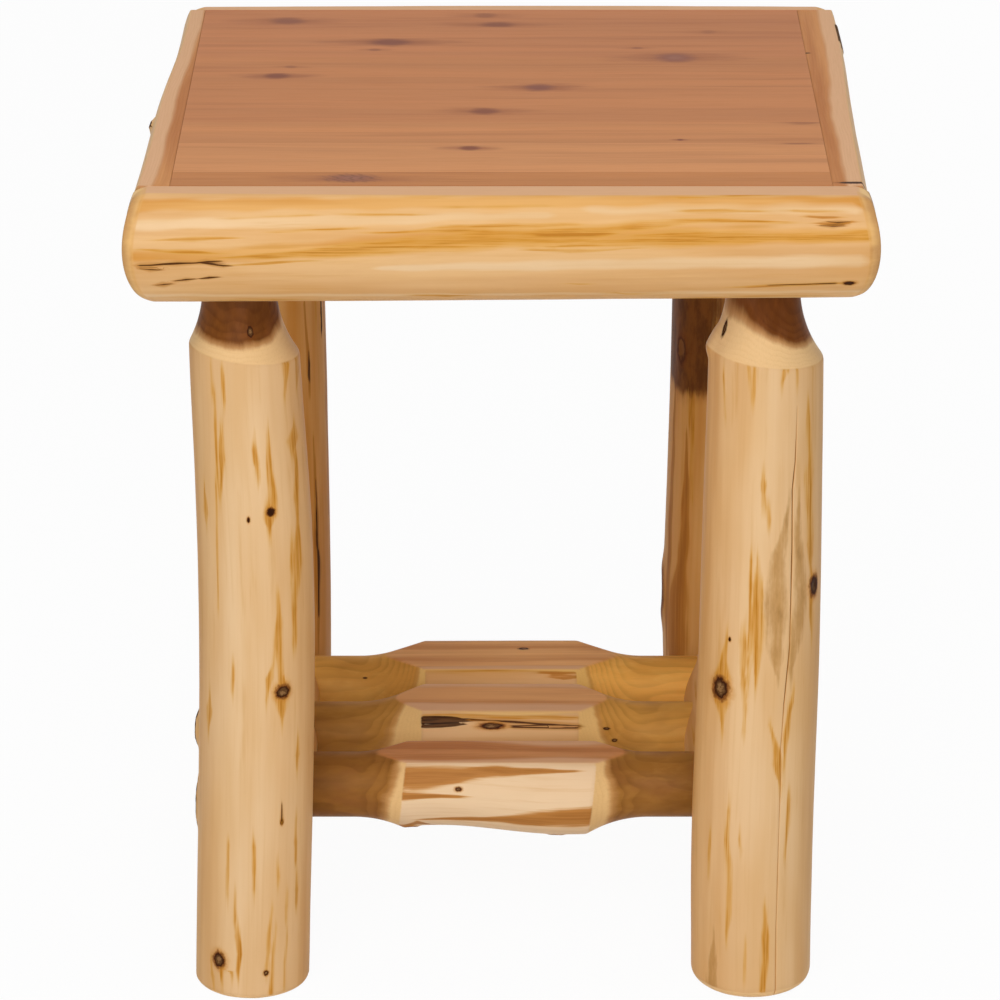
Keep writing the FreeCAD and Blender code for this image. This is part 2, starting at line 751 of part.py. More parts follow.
END_DOWEL = "end_dowel_bite + dowel_bite"
group("front_rail_dowels", [
    rod("dowel_diameter", END_DOWEL, ALONG_Y, spot, "panel_front_y - end_dowel_bite", "panel_core_z")
    for spot in RAIL_DOWEL_SPOTS
])
group("rear_rail_dowels", [
    rod("dowel_diameter", END_DOWEL, ALONG_Y, spot, "panel_rear_y - dowel_bite", "panel_core_z")
    for spot in RAIL_DOWEL_SPOTS
])
SIDE_DOWEL = "side_dowel_bite + dowel_bite"
SIDE_DOWEL_STARTS = {
    "left_rail_dowels": "-panel_width / 2 - side_dowel_bite",
    "right_rail_dowels": "panel_width / 2 - dowel_bite",
}
for group_name, start_x in SIDE_DOWEL_STARTS.items():
    group(group_name, [
        rod("dowel_diameter", SIDE_DOWEL, ALONG_X, start_x, board_middle_y(index), "panel_core_z")
        for index in range(BOARD_COUNT)
    ])
group("corner_dowels", [
    rod("corner_dowel_diameter", "2 * corner_dowel_bite", ALONG_Y,
        f"{side} * (corner_dowel_x)", f"{edge_y} - corner_dowel_bite", "corner_dowel_z")
    for side in (-1, 1)
    for edge_y in ("panel_front_y", "panel_rear_y")
])
group("batten_screws", [
    screw("batten_thickness + batten_screw_bite", ALONG_Z,
          f"{side} * (batten_screw_x)", board_middle_y(index), "batten_base_z")
    for side in (-1, 1)
    for index in range(BOARD_COUNT)
])
group("leg_screws", [
    screw("batten_width / 2 - tenon_radius + leg_screw_bite", ALONG_X if side > 0 else BACK_ALONG_X,
          f"{side} * (batten_inner_x)", leg_y, "batten_core_z")
    for side in (-1, 1)
    for leg_y in ("front_leg_y", "rear_leg_y")
])


# Every feature has to be sound, and every cut has to take something away, before a file is written

doc.recompute()
for item in doc.Objects:
    if "Invalid" in item.State or "Error" in item.State:
        raise RuntimeError(f"{item.Label} failed: {item.State}")
for piece in pieces:
    solid = piece.Shape
    if solid.isNull() or not solid.isValid() or not solid.Solids:
        raise RuntimeError(f"{piece.Label} has no sound shape")
    if piece.TypeId != "PartDesign::Body":
        continue
    volume = None
    for feature in piece.Group:
        if not feature.isDerivedFrom("PartDesign::Feature"):
            continue
        if volume and feature.Shape.Volume >= volume:
            raise RuntimeError(f"{feature.Label} of {piece.Label} takes nothing away")
        volume = feature.Shape.Volume

os.makedirs("parts", exist_ok=True)
for piece in pieces:
    piece.Shape.exportStep(f"parts/{piece.Label}.step")
print(f"{len(pieces)} pieces written")
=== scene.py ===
import math

import bmesh
import bpy
import numpy as np
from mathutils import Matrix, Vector


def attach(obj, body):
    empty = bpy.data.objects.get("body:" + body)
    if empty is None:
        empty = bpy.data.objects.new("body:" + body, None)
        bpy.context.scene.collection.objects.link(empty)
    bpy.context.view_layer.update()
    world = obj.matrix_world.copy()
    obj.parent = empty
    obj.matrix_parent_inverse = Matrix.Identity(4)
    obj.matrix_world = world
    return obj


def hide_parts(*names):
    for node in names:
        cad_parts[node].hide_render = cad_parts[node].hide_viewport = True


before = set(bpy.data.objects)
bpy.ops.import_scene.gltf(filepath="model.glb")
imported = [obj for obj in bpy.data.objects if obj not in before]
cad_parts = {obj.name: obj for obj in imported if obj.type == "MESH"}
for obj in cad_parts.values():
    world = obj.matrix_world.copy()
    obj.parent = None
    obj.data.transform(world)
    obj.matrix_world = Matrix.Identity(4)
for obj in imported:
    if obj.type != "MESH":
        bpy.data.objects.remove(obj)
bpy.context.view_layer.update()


# Legs
# Four peeled cedar logs. A round tenon is turned at the top of each, where the cutter's
# flare lays the dark heartwood bare, and the sawn foot is rounded over.
# The bark is drawn off by hand, which leaves a pale skin with golden streaks and knots.

class Wire:
    """A socket in a node tree. Sums on it add Math nodes, and node() adds any other."""

    def __init__(self, tree, socket=None):
        self.tree, self.socket = tree, socket

    def node(self, kind, settings=None, sockets=None, output=0):
        """Adds a node, sets it up, and fills its sockets with values or other wires."""
        node = self.tree.nodes.new(kind)
        for name, value in (settings or {}).items():
            setattr(node, name, value)
        for name, value in (sockets or {}).items():
            if isinstance(value, Wire):
                self.tree.links.new(value.socket, node.inputs[name])
            else:
                node.inputs[name].default_value = value
        return Wire(self.tree, node.outputs[output] if node.outputs else None)

    def math(self, operation, *values):
        return self.node("ShaderNodeMath", {"operation": operation}, dict(enumerate(values)))

    def vector(self, operation, *values):
        return self.node("ShaderNodeVectorMath", {"operation": operation}, dict(enumerate((self,) + values)))

    def parts(self):
        """The vector's X, Y and Z."""
        split = self.node("ShaderNodeSeparateXYZ", None, {0: self}).socket.node
        return [Wire(self.tree, output) for output in split.outputs]

    def rise(self, low, high):
        """0 below low, 1 above high, and a smooth step between."""
        return self.node("ShaderNodeMapRange", {"interpolation_type": "SMOOTHSTEP"},
                         {"Value": self, "From Min": low, "From Max": high})

    def tint(self, without, with_it):
        """A colour that turns from one to the other as this value goes from 0 to 1."""
        return self.node("ShaderNodeMix", {"data_type": "RGBA"},
                         {0: self, 6: without, 7: with_it}, output=2)

    def noise(self, scale, detail=2.0, roughness=0.5, stretch=(1, 1, 1), shift=0.0):
        """Cloudy noise, 0.5 on average, on this vector stretched and shifted."""
        shift = shift if isinstance(shift, Wire) else (shift, shift, shift)
        place = self.vector("MULTIPLY", stretch).vector("ADD", shift)
        return self.node("ShaderNodeTexNoise", None, {
            "Vector": place, "Scale": scale, "Detail": detail, "Roughness": roughness})

    def __add__(self, other):
        return self.math("ADD", self, other)

    def __sub__(self, other):
        return self.math("SUBTRACT", self, other)

    def __rsub__(self, other):
        return self.math("SUBTRACT", other, self)

    def __mul__(self, other):
        return self.math("MULTIPLY", self, other)

    def __truediv__(self, other):
        return self.math("DIVIDE", self, other)

    def __rtruediv__(self, other):
        return self.math("DIVIDE", other, self)

    __radd__, __rmul__ = __add__, __mul__


def paint(red, green, blue):
    """A screen colour as the linear colour that a socket takes."""
    linear = [(c / 255 / 12.92 if c < 11 else ((c / 255 + 0.055) / 1.055) ** 2.4)
              for c in (red, green, blue)]
    return (*linear, 1.0)


def bare_material(name):
    """A material with no nodes yet, and a pen that draws them."""
    material = bpy.data.materials.new(name)
    material.use_nodes = True
    material.node_tree.nodes.clear()
    return material, Wire(material.node_tree)


def cover(pen, sockets):
    """The shader that a material ends in."""
    surface = pen.node("ShaderNodeBsdfPrincipled", None, sockets)
    pen.node("ShaderNodeOutputMaterial", None, {"Surface": surface})


def log_tree():
    """Geometry Nodes that shape a blank of rings into a peeled log with turned, planed or sawn parts."""
    far = 1.0
    inputs = {
        "Start": ("NodeSocketFloat", 0.0), "End": ("NodeSocketFloat", 0.0),
        "Start Tenon": ("NodeSocketFloat", far), "Start Flare": ("NodeSocketFloat", -far),
        "End Tenon": ("NodeSocketFloat", far), "End Flare": ("NodeSocketFloat", far),
        "Cutter Radius": ("NodeSocketFloat", far), "Start Round": ("NodeSocketFloat", 0.0),
        "Facet": ("NodeSocketFloat", 0.0), "Planed Top": ("NodeSocketFloat", far),
        "Bevel": ("NodeSocketFloat", far), "Bevel Turn": ("NodeSocketFloat", 0.5),
        "Sawn Face": ("NodeSocketFloat", far), "Sawn Side": ("NodeSocketFloat", 1.0),
        "Edge Ease": ("NodeSocketFloat", 0.0015),
        "Dome Radius": ("NodeSocketFloat", 1000.0), "Dome Reach": ("NodeSocketFloat", 0.06),
        "Peel Depth": ("NodeSocketFloat", 0.0004), "Seed": ("NodeSocketFloat", 0.0),
        "Core": ("NodeSocketVector", (0, 0, 0)), "Pith": ("NodeSocketVector", (0, 0, 0)),
        "Origin": ("NodeSocketVector", (0, 0, 0)), "Across": ("NodeSocketVector", (1, 0, 0)),
        "Up": ("NodeSocketVector", (0, 1, 0)), "Along": ("NodeSocketVector", (0, 0, 1)),
        "Material": ("NodeSocketMaterial", None),
    }
    tree = bpy.data.node_groups.new("peeled_log", "GeometryNodeTree")
    tree.interface.new_socket("Blank", in_out="INPUT", socket_type="NodeSocketGeometry")
    for name, (kind, value) in inputs.items():
        socket = tree.interface.new_socket(name, in_out="INPUT", socket_type=kind)
        if value is not None:
            socket.default_value = value
    tree.interface.new_socket("Log", in_out="OUTPUT", socket_type="NodeSocketGeometry")
    sizes = {s.name: Wire(tree, s) for s in tree.nodes.new("NodeGroupInput").outputs if s.name}
    pen = Wire(tree)

    def laid(name, kind="FLOAT"):
        return pen.node("GeometryNodeInputNamedAttribute", {"data_type": kind}, {"Name": name})

    turn, along, girth, face_in = (laid(n) for n in ("turn", "along", "girth", "face_in"))
    lean_u, lean_v, _ = laid("lean", "FLOAT_VECTOR").parts()
    core_u, core_v, _ = sizes["Core"].parts()
    pith_u, pith_v, _ = sizes["Pith"].parts()
    cosine, sine = pen.math("COSINE", turn), pen.math("SINE", turn)

    # natural skin: the ray from the core to the log's round, dented a little by the drawknife
    off_u, off_v = lean_u - core_u, lean_v - core_v
    toward = off_u * cosine + off_v * sine
    round_skin = toward + pen.math("SQRT", girth * girth - off_u * off_u - off_v * off_v + toward * toward)
    around = pen.node("ShaderNodeCombineXYZ", None, {0: cosine * girth, 1: sine * girth, 2: along})
    peel = around.noise(70.0, 1.5, stretch=(1, 1, 0.16), shift=sizes["Seed"])
    skin = round_skin + (peel - 0.75) * 2.0 * sizes["Peel Depth"]

    # what the cutter, the plane and the saw leave
    def flare(tenon, reach):
        inside = pen.math("MAXIMUM", sizes["Cutter Radius"] * sizes["Cutter Radius"] - reach * reach, 0.0)
        return tenon + sizes["Cutter Radius"] - pen.math("SQRT", inside)

    start_flare = flare(sizes["Start Tenon"], pen.math("MAXIMUM", along - sizes["Start Flare"], 0.0))
    end_flare = flare(sizes["End Tenon"], pen.math("MAXIMUM", sizes["End Flare"] - along, 0.0))
    least = 0.001
    planed = (sizes["Planed Top"] - core_v) / pen.math("MAXIMUM", sine, least)
    sawn_way = cosine * sizes["Sawn Side"]
    sawn = (sizes["Sawn Face"] - core_u * sizes["Sawn Side"]) / pen.math("MAXIMUM", sawn_way, least)
    bevel_way = (sine * pen.math("COSINE", sizes["Bevel Turn"])
                 + pen.math("ABSOLUTE", cosine) * pen.math("SINE", sizes["Bevel Turn"]))
    bevel = sizes["Bevel"] / pen.math("MAXIMUM", bevel_way, least)
    reach = skin
    for worked in (bevel, start_flare, end_flare, sawn, planed):
        reach = pen.math("SMOOTH_MIN", reach, worked, sizes["Edge Ease"])

    # a rounded foot
    from_start, from_end = along - sizes["Start"], sizes["End"] - along
    foot = sizes["Start Round"]
    short = pen.math("MAXIMUM", foot - from_start, 0.0)
    reach = reach - foot + pen.math("SQRT", pen.math("MAXIMUM", foot * foot - short * short, 0.0))

    # a shallow facet shaved round each end, and each end face closed to a point at its middle
    facet = sizes["Facet"] * (0.9 + 0.1 * sine)
    nearest_end = pen.math("MINIMUM", from_start, from_end)
    shaved = pen.math("MAXIMUM", 1.0 - nearest_end / pen.math("MAXIMUM", facet, 0.0001), 0.0)
    reach = reach - facet * (0.2 * shaved + 0.3 * (1.0 - pen.math("SQRT", 1.0 - shaved * shaved)))
    reach = reach * (1.0 - face_in)
    place_u, place_v = core_u + reach * cosine, core_v + reach * sine

    # domed ends, seen from the side of the log
    dome, dome_reach = sizes["Dome Radius"], sizes["Dome Reach"]
    drop = place_v * place_v / (dome + pen.math("SQRT", dome * dome - place_v * place_v))
    near_start = 1.0 - pen.math("MINIMUM", from_start / dome_reach, 1.0)
    near_end = 1.0 - pen.math("MINIMUM", from_end / dome_reach, 1.0)
    place_w = along + drop * near_start - drop * near_end

    position = sizes["Origin"]
    for distance, way in ((place_u, "Across"), (place_v, "Up"), (place_w, "Along")):
        step = pen.node("ShaderNodeVectorMath", {"operation": "SCALE"}, {0: sizes[way], "Scale": distance})
        position = position.vector("ADD", step)

    # what the finish reads: the place in the log, how deep it is cut, and where it is planed
    from_u, from_v = place_u - lean_u, place_v - lean_v
    depth = girth - pen.math("SQRT", from_u * from_u + from_v * from_v)
    log_place = pen.node("ShaderNodeCombineXYZ", None, {
        0: from_u - pith_u, 1: from_v - pith_v, 2: place_w + sizes["Seed"]})
    is_planed = 1.0 - (planed - reach).rise(0.0003, 0.0012)
    shaped = sizes["Blank"]
    for name, kind, value in (("log_place", "FLOAT_VECTOR", log_place), ("cut_depth", "FLOAT", depth),
                              ("planed", "FLOAT", is_planed), ("shaved", "FLOAT", shaved)):
        shaped = pen.node("GeometryNodeStoreNamedAttribute", {"data_type": kind, "domain": "POINT"},
                          {"Geometry": shaped, "Name": name, "Value": value})
    shaped = pen.node("GeometryNodeSetPosition", None, {"Geometry": shaped, "Position": position})
    shaped = pen.node("GeometryNodeMergeByDistance", None, {"Geometry": shaped, "Distance": 0.00001})
    shaped = pen.node("GeometryNodeSetShadeSmooth", None, {"Geometry": shaped})
    shaped = pen.node("GeometryNodeRealizeInstances", None, {"Geometry": shaped})
    shaped = pen.node("GeometryNodeSetMaterial", None, {"Geometry": shaped, "Material": sizes["Material"]})
    end = tree.nodes.new("NodeGroupOutput")
    tree.links.new(shaped.socket, end.inputs["Log"])
    return tree


def smooth_through(places, values, wanted):
    """Values of the natural cubic curve through the stations of a log."""
    x, y = np.array(places, float), np.array(values, float)
    gap, slope = np.diff(x), np.diff(y) / np.diff(x)
    system, right = np.eye(len(x)), np.zeros(len(x))
    for i in range(1, len(x) - 1):
        system[i, i - 1:i + 2] = gap[i - 1], 2 * (gap[i - 1] + gap[i]), gap[i]
        right[i] = 6 * (slope[i] - slope[i - 1])
    bend = np.linalg.solve(system, right)
    i = np.clip(np.searchsorted(x, wanted) - 1, 0, len(x) - 2)
    a, b = x[i + 1] - wanted, wanted - x[i]
    return ((bend[i] * a ** 3 + bend[i + 1] * b ** 3) / (6 * gap[i])
            + (y[i] / gap[i] - bend[i] * gap[i] / 6) * a + (y[i + 1] / gap[i] - bend[i + 1] * gap[i] / 6) * b)


def store(mesh, name, values):
    """Keeps one number or one vector for each vertex."""
    is_vector = np.ndim(values) == 2
    attribute = (mesh.attributes.get(name)
                 or mesh.attributes.new(name, "FLOAT_VECTOR" if is_vector else "FLOAT", "POINT"))
    attribute.data.foreach_set("vector" if is_vector else "value", np.asarray(values, np.float32).ravel())


def stored(mesh, name):
    values = np.empty(len(mesh.vertices), np.float32)
    mesh.attributes[name].data.foreach_get("value", values)
    return values.astype(float)


def log_blank(name, start, end, diameter, stations, columns, ring_gap, check=()):
    """Rings of vertices that know their turn, their place along the log and the log's girth there.
    With a check, the columns follow it and crowd round it."""
    end_round, end_rings = 0.012, 12
    eased = end_round * (1 - np.cos(np.linspace(0, math.pi / 2, end_rings)))
    middle = np.linspace(start + end_round, end - end_round, int((end - start) / ring_gap))
    body = np.concatenate([start + eased[:-1], middle, end - eased[-2::-1]])
    closing = np.array([1.0, 0.8, 0.5, 0.2])
    along = np.concatenate([np.full(4, start), body, np.full(4, end)])
    face_in = np.concatenate([closing, np.zeros(len(body)), closing[::-1]])

    share = (along - start) / (end - start) + stations[0][0]
    table = np.array(stations, float)
    girth, lean_u, lean_v = (smooth_through(table[:, 0], table[:, k], share) * diameter for k in (1, 2, 3))
    girth = girth / 2
    turns = np.linspace(0, 2 * math.pi, columns, endpoint=False)
    middle_turn = np.zeros(len(along))
    if check:
        places, angles = np.array(check, float).T
        middle_turn = np.interp(along, places[::-1] / 1000, np.radians(angles[::-1]))
        check_half = 0.0011
        crowd = np.array([-1.0, -0.55, -0.3, 0.3, 0.55, 1.0]) * check_half / (diameter / 2)
        turns = np.sort(np.concatenate([turns, crowd % (2 * math.pi)]))
    rings, columns = len(along), len(turns)

    first = np.arange(rings - 1)[:, None] * columns
    left = np.arange(columns)[None, :]
    right = (left + 1) % columns
    faces = np.stack([first + left, first + right, first + columns + right, first + columns + left], -1)
    mesh = bpy.data.meshes.new(name)
    mesh.from_pydata(np.zeros((rings * columns, 3)).tolist(), [], faces.reshape(-1, 4).tolist())
    store(mesh, "turn", (middle_turn[:, None] + turns[None, :]).ravel())
    store(mesh, "check_turn", np.tile((turns + math.pi) % (2 * math.pi) - math.pi, rings))
    for word, values in (("along", along), ("girth", girth), ("face_in", face_in)):
        store(mesh, word, np.repeat(values, columns))
    store(mesh, "lean", np.repeat(np.stack([lean_u, lean_v, 0 * lean_u], 1), columns, axis=0))
    piece = bpy.data.objects.new(name, mesh)
    bpy.context.scene.collection.objects.link(piece)
    return piece


def run_tree(piece, tree, sizes):
    """Runs Geometry Nodes on a piece and keeps the result as its plain mesh."""
    modifier = piece.modifiers.new("shape", "NODES")
    modifier.node_group = tree
    for item in tree.interface.items_tree:
        if item.in_out == "INPUT" and item.name in sizes:
            modifier[item.identifier] = sizes[item.name]
    made = bpy.data.meshes.new_from_object(piece.evaluated_get(bpy.context.evaluated_depsgraph_get()))
    piece.modifiers.clear()
    blank, piece.data = piece.data, made
    bpy.data.meshes.remove(blank)
    made.name = piece.name


def streak_field(along, turn, girth, streaks):
    """1 along the middle of each streak, 0 at its sides and down to -2 away from it. A streak is
    a list of places along the log in mm, turns in degrees and half widths in mm."""
    field = np.full(len(along), -2.0)
    thinnest, end_reach = 0.0014, 0.009
    waver = np.sin(along * 151 + turn * 9) + np.sin(along * 73 - turn * 5 + 2)
    for streak in streaks:
        table = np.array(sorted(streak), float)
        places = table[:, 0] / 1000
        centre = np.radians(np.interp(along, places, table[:, 1]))
        half = np.interp(along, places, table[:, 2]) / 1000
        away = ((turn - centre + math.pi) % (2 * math.pi) - math.pi) * girth + waver * np.minimum(half * 0.15, 0.0006)
        beyond = np.maximum(np.maximum(places[0] - along, along - places[-1]), 0)
        faint = np.maximum(1 - half / thinnest, 0) * 0.7
        level = 1 - (away / np.maximum(half * 1.1, thinnest)) ** 2 - faint - beyond / end_reach
        field = np.maximum(field, level)
    return field


def wild_streaks(seed, count, first, last, low, high):
    """Short streaks scattered over part of a log: between two places along it in mm and two turns in degrees."""
    pick = np.random.default_rng(seed)
    streaks = []
    for _ in range(count):
        place, turn = pick.uniform(first, last), pick.uniform(low, high)
        reach, half = pick.uniform(9, 42), pick.uniform(0.5, 2.8)
        bend = pick.normal(0, 1.2)
        streaks.append([(place - reach, turn - bend, 0.4), (place, turn, half),
                        (place + reach * 0.8, turn + bend, 0.4)])
    return streaks


def lay_marks(piece, log):
    """Lays the streaks, stains, knots and cracks of one log on its skin, raised or sunk where they are so, and on a
    leg paints the skin paler on one side and more golden round the others as painted light and shade.
    A knot has its place in mm, its turn in degrees, its half length and half width in mm, its kind and its rise
    in mm. Kind 0 is a bare lump, from 1 a knot that gets blacker up to 1.9, and 3 a soft one."""
    mesh = piece.data
    along, turn, girth = (stored(mesh, n) for n in ("along", "turn", "girth"))
    flames = log.get("flames", []) + wild_streaks(int(log["seed"]), *log["wild"])
    for word, streaks in (("golden", flames), ("brown", log.get("browns", ())), ("grey", log.get("greys", ())),
                          ("stain", log.get("stains", ())), ("bark", log.get("barks", ()))):
        store(mesh, word, streak_field(along, turn, girth, streaks))
    wood = np.tile(np.array(log["wood"], float), (len(along), 1))
    wood[:, 1] += log.get("lighter_end", 0.0) * along
    # painted light and shade: a leg's skin is painted palest at the turn that its entry gives and more golden round
    # the other sides
    if "painted_light_turn" in log:
        wood[:, 2] += 0.75 * np.minimum(1 - np.cos(turn - math.radians(log["painted_light_turn"])), 1)
    wood[:, 2] += 0.5 * np.clip(1.2 * streak_field(along, turn, girth, log.get("warm_bands", ())), 0, 1)
    wood[:, 2] -= 0.5 * np.clip(1.2 * streak_field(along, turn, girth, log.get("pale_bands", ())), 0, 1)
    store(mesh, "wood", wood)

    # each vertex knows its place in the coordinates of the nearest knot and the nearest crack,
    # and whether it is close to it, so that their edges stay sharp
    knot, knot_reach, crack, crack_reach = (np.zeros((len(along), 3)), np.full(len(along), np.inf),
                                            np.zeros((len(along), 3)), np.full(len(along), np.inf))
    bark_rise, check_half, check_depth = 0.0008, 0.0007, 0.0022
    lift = bark_rise * np.clip(stored(mesh, "bark") * 1.6, 0, 1)
    for place, angle, half_long, half_wide, kind, rise in log.get("knots", ()):
        x = (along - place / 1000) / (half_long / 1000)
        y = ((turn - math.radians(angle) + math.pi) % (2 * math.pi) - math.pi) * girth / (half_wide / 1000)
        away = np.hypot(x, y)
        lump = rise / 1000 * np.exp(-(away / 1.25) ** 4)
        lift += lump * (1 - 1.2 * np.exp(-(away / 0.55) ** 2)) if kind else lump
        if kind:
            nearer = away < knot_reach
            knot[nearer] = np.stack([x, y, np.where(away < 2.6, kind, 0.0)], 1)[nearer]
            knot_reach = np.minimum(knot_reach, away)
    widest, end_fade = 5.0, 0.003
    for line in log.get("cracks", ()):
        table = np.array(sorted(line), float)
        centre = np.radians(np.interp(along, table[:, 0] / 1000, table[:, 1]))
        half = np.interp(along, table[:, 0] / 1000, table[:, 2]) / 1000
        y = ((turn - centre + math.pi) % (2 * math.pi) - math.pi) * girth / half
        x = np.maximum(np.maximum(table[0, 0] / 1000 - along, along - table[-1, 0] / 1000), 0) / end_fade
        away = np.maximum(np.abs(y) / widest, x / 2)
        nearer = away < crack_reach
        crack[nearer] = np.stack([x, y, (away < 1).astype(float)], 1)[nearer]
        crack_reach = np.minimum(crack_reach, away)
    store(mesh, "knot", knot)
    store(mesh, "crack", crack)

    gape = np.zeros(len(along))
    if "check" in log:
        offset = np.abs(stored(mesh, "check_turn")) * girth
        top = log["check"][0][0] / 1000
        top_fade, low_end, low_fade = 0.05, 0.19, 0.06
        fade = np.clip((top - along) / top_fade, 0, 1) ** 0.5
        width = check_half * (0.75 + 0.25 * np.sin(along * 61) * np.sin(along * 23 + 1))
        closing = np.clip((along - low_end) / low_fade, 0.35, 1)
        gape = np.clip(1 - offset / width, 0, 1) * fade * closing
        lift -= check_depth * gape
    store(mesh, "check", gape)
    lift = np.where(lift > 0, lift * (1 - stored(mesh, "planed")), lift)
    normals, places = np.empty(len(along) * 3), np.empty(len(along) * 3)
    mesh.vertex_normals.foreach_get("vector", normals)
    mesh.vertices.foreach_get("co", places)
    mesh.vertices.foreach_set("co", places + normals * np.repeat(lift, 3))
    mesh.update()


def peeled_cedar():
    """Peeled cedar under clear satin lacquer: pale skin outside, sapwood and brown heartwood where it is cut."""
    material, pen = bare_material("peeled_cedar")

    def mesh_value(name, output="Fac"):
        return pen.node("ShaderNodeAttribute", {"attribute_name": name}, output=output)

    place = mesh_value("log_place", "Vector")
    place_u, place_v, place_w = place.parts()
    heart_radius, heart_tone, warmth = mesh_value("wood", "Vector").parts()
    fibre = place.noise(1100.0, 3.0, 0.6, stretch=(1, 1, 0.03))
    thread = place.noise(420.0, 3.0, 0.6, stretch=(1, 1, 0.022), shift=3.1)
    streak = place.noise(150.0, 3.0, 0.62, stretch=(1, 1, 0.06), shift=7.7)
    wash = place.noise(60.0, 3.0, 0.55, stretch=(1, 1, 0.05), shift=4.4)
    cloud = place.noise(26.0, 2.0, 0.5, stretch=(1, 1, 0.3), shift=1.3)

    # peeled skin: cream, golden where it is warm, with golden streaks along the grain;
    # on a leg the warmth also carries painted light and shade, pale on one side and golden round the others
    skin = (cloud * 0.6 + wash * 0.4).rise(0.36, 0.66).tint(paint(231, 196, 152), paint(222, 181, 130))
    skin = (warmth * -1.0).rise(0.0, 1.0).tint(skin, paint(246, 218, 182))
    golden = wash.rise(0.36, 0.64).tint(paint(222, 168, 100), paint(207, 143, 66))
    skin = warmth.tint(skin, golden)
    skin = (thread.rise(0.5, 0.72) * 0.15).tint(skin, paint(206, 154, 90))
    scattered = streak.rise(0.55, 0.78) * (0.16 + cloud.rise(0.4, 0.6) * 0.28 + warmth * 0.3)
    skin = scattered.tint(skin, paint(203, 146, 68))
    ragged = (fibre - 0.5) * 1.2 + (thread - 0.5) * 2.2 + (streak - 0.5) * 1.2
    breaks = place.noise(60.0, 2.0, 0.5, stretch=(1, 1, 0.5), shift=2.2)
    flame = mesh_value("golden") + (breaks - 0.5) * 2.2
    lines = (thread * 0.6 + fibre * 0.4).rise(0.4, 0.62)
    skin = ((flame + ragged * 1.1).rise(-1.3, 0.6) * 0.62).tint(skin, paint(214, 160, 80))
    skin = ((flame + ragged * 1.2).rise(-0.2, 1.1) * (0.36 + lines * 0.54)).tint(skin, paint(202, 137, 42))
    skin = ((flame + ragged * 1.6).rise(0.7, 1.8) * (0.15 + lines * 0.5)).tint(skin, paint(172, 106, 28))
    brown = mesh_value("brown")
    skin = ((brown + ragged * 0.8).rise(-0.9, 0.3) * 0.6).tint(skin, paint(207, 148, 68))
    skin = ((brown + ragged * 0.5).rise(-0.2, 0.4) * 0.85).tint(skin, paint(186, 122, 52))
    skin = ((brown + ragged * 0.8).rise(0.4, 1.4) * 0.5).tint(skin, paint(150, 90, 34))
    grey = mesh_value("grey")
    blotch = place.noise(120.0, 3.0, 0.7, stretch=(1, 1, 0.35), shift=5.0)
    skin = ((grey + (blotch - 0.5) * 3.4 + ragged * 0.9).rise(-1.1, 1.3) * 0.58).tint(skin, paint(168, 117, 44))
    skin = ((grey + (blotch - 0.5) * 5.0 + ragged * 0.6).rise(0.9, 2.4) * 0.34).tint(skin, paint(122, 84, 38))
    stain = mesh_value("stain") + ragged * 0.45 + (blotch - 0.5) * 1.6
    skin = (stain.rise(-1.5, 0.1) * 0.4).tint(skin, paint(150, 92, 38))
    stain_brown = blotch.rise(0.35, 0.65).tint(paint(86, 45, 13), paint(118, 68, 24))
    skin = (stain.rise(-0.6, 0.4) * 0.92).tint(skin, stain_brown)

    # cut wood: yellow sapwood round brown heartwood, with the year rings
    radial = pen.math("SQRT", place_u * place_u + place_v * place_v)
    drift = place.noise(30.0, 2.0, 0.5, stretch=(1, 1, 0.35), shift=9.0)
    ring_gap = 0.0016
    ring = pen.math("FRACT", radial / ring_gap + drift * 5.0)
    late = ring.rise(0.3, 0.85) * (1.0 - ring.rise(0.88, 1.0)) * wash.rise(0.2, 0.6)
    sapness = (radial - heart_radius + (drift - 0.5) * 0.005 + (streak - 0.5) * 0.0016).rise(-0.002, 0.0011)
    planed = mesh_value("planed")
    heart = heart_tone.tint(paint(106, 54, 15), paint(250, 188, 93))
    heart = (cloud.rise(0.4, 0.7) * 0.5).tint(heart, heart_tone.tint(paint(84, 40, 12), paint(198, 134, 56)))
    mottled = (blotch * 0.6 + drift * 0.4).rise(0.44, 0.6) * 0.3
    heart = mottled.tint(heart, heart_tone.tint(paint(148, 78, 26), paint(255, 206, 112)))
    flat_tone = heart_tone * 1.16
    red = flat_tone.tint(paint(196, 126, 70), paint(244, 188, 124))
    red_dark = flat_tone.tint(paint(174, 104, 54), paint(212, 146, 86))
    heart = (breaks.rise(0.45, 0.7) * 0.5 * (1.0 - heart_tone)).tint(heart, paint(132, 80, 46))
    heart = planed.tint(heart, wash.rise(0.35, 0.65).tint(red, red_dark))
    ring_brown = heart_tone.tint(paint(58, 27, 8), paint(146, 94, 34))
    heart = (late * (0.26 - heart_tone * 0.04) * (1.0 - planed * 0.8)).tint(heart, ring_brown)
    sap = planed.tint(heart_tone.tint(paint(237, 198, 144), paint(239, 195, 112)), paint(222, 173, 131))
    sap = (late * (0.09 - planed * 0.05)).tint(sap, paint(214, 164, 98))
    cut_wood = sapness.tint(heart, sap)
    cut_wood = (sapness * (1.0 - sapness) * (1.0 - planed * 0.7) * 1.7).tint(cut_wood, paint(182, 116, 48))
    cut_wood = (fibre.rise(0.4, 0.75) * 0.07).tint(cut_wood, paint(150, 96, 50))
    cut_depth = mesh_value("cut_depth")
    is_cut = (cut_depth + (fibre - 0.5) * 0.0004).rise(0.0005, 0.0011)
    wood = is_cut.tint(skin, cut_wood)
    # painted shade: the facet shaved round each end is painted darker golden brown, most at the very end, for the
    # shade on its side-facing slope
    shaved = mesh_value("shaved")
    painted_facet_shade = (shaved + (wash - 0.5) * 2.0).rise(0.1, 1.1).tint(paint(220, 168, 100), paint(166, 104, 50))
    wood = (shaved.rise(0.02, 0.14) * (1.0 - cut_depth.rise(0.0045, 0.007)) * 0.6).tint(wood, painted_facet_shade)

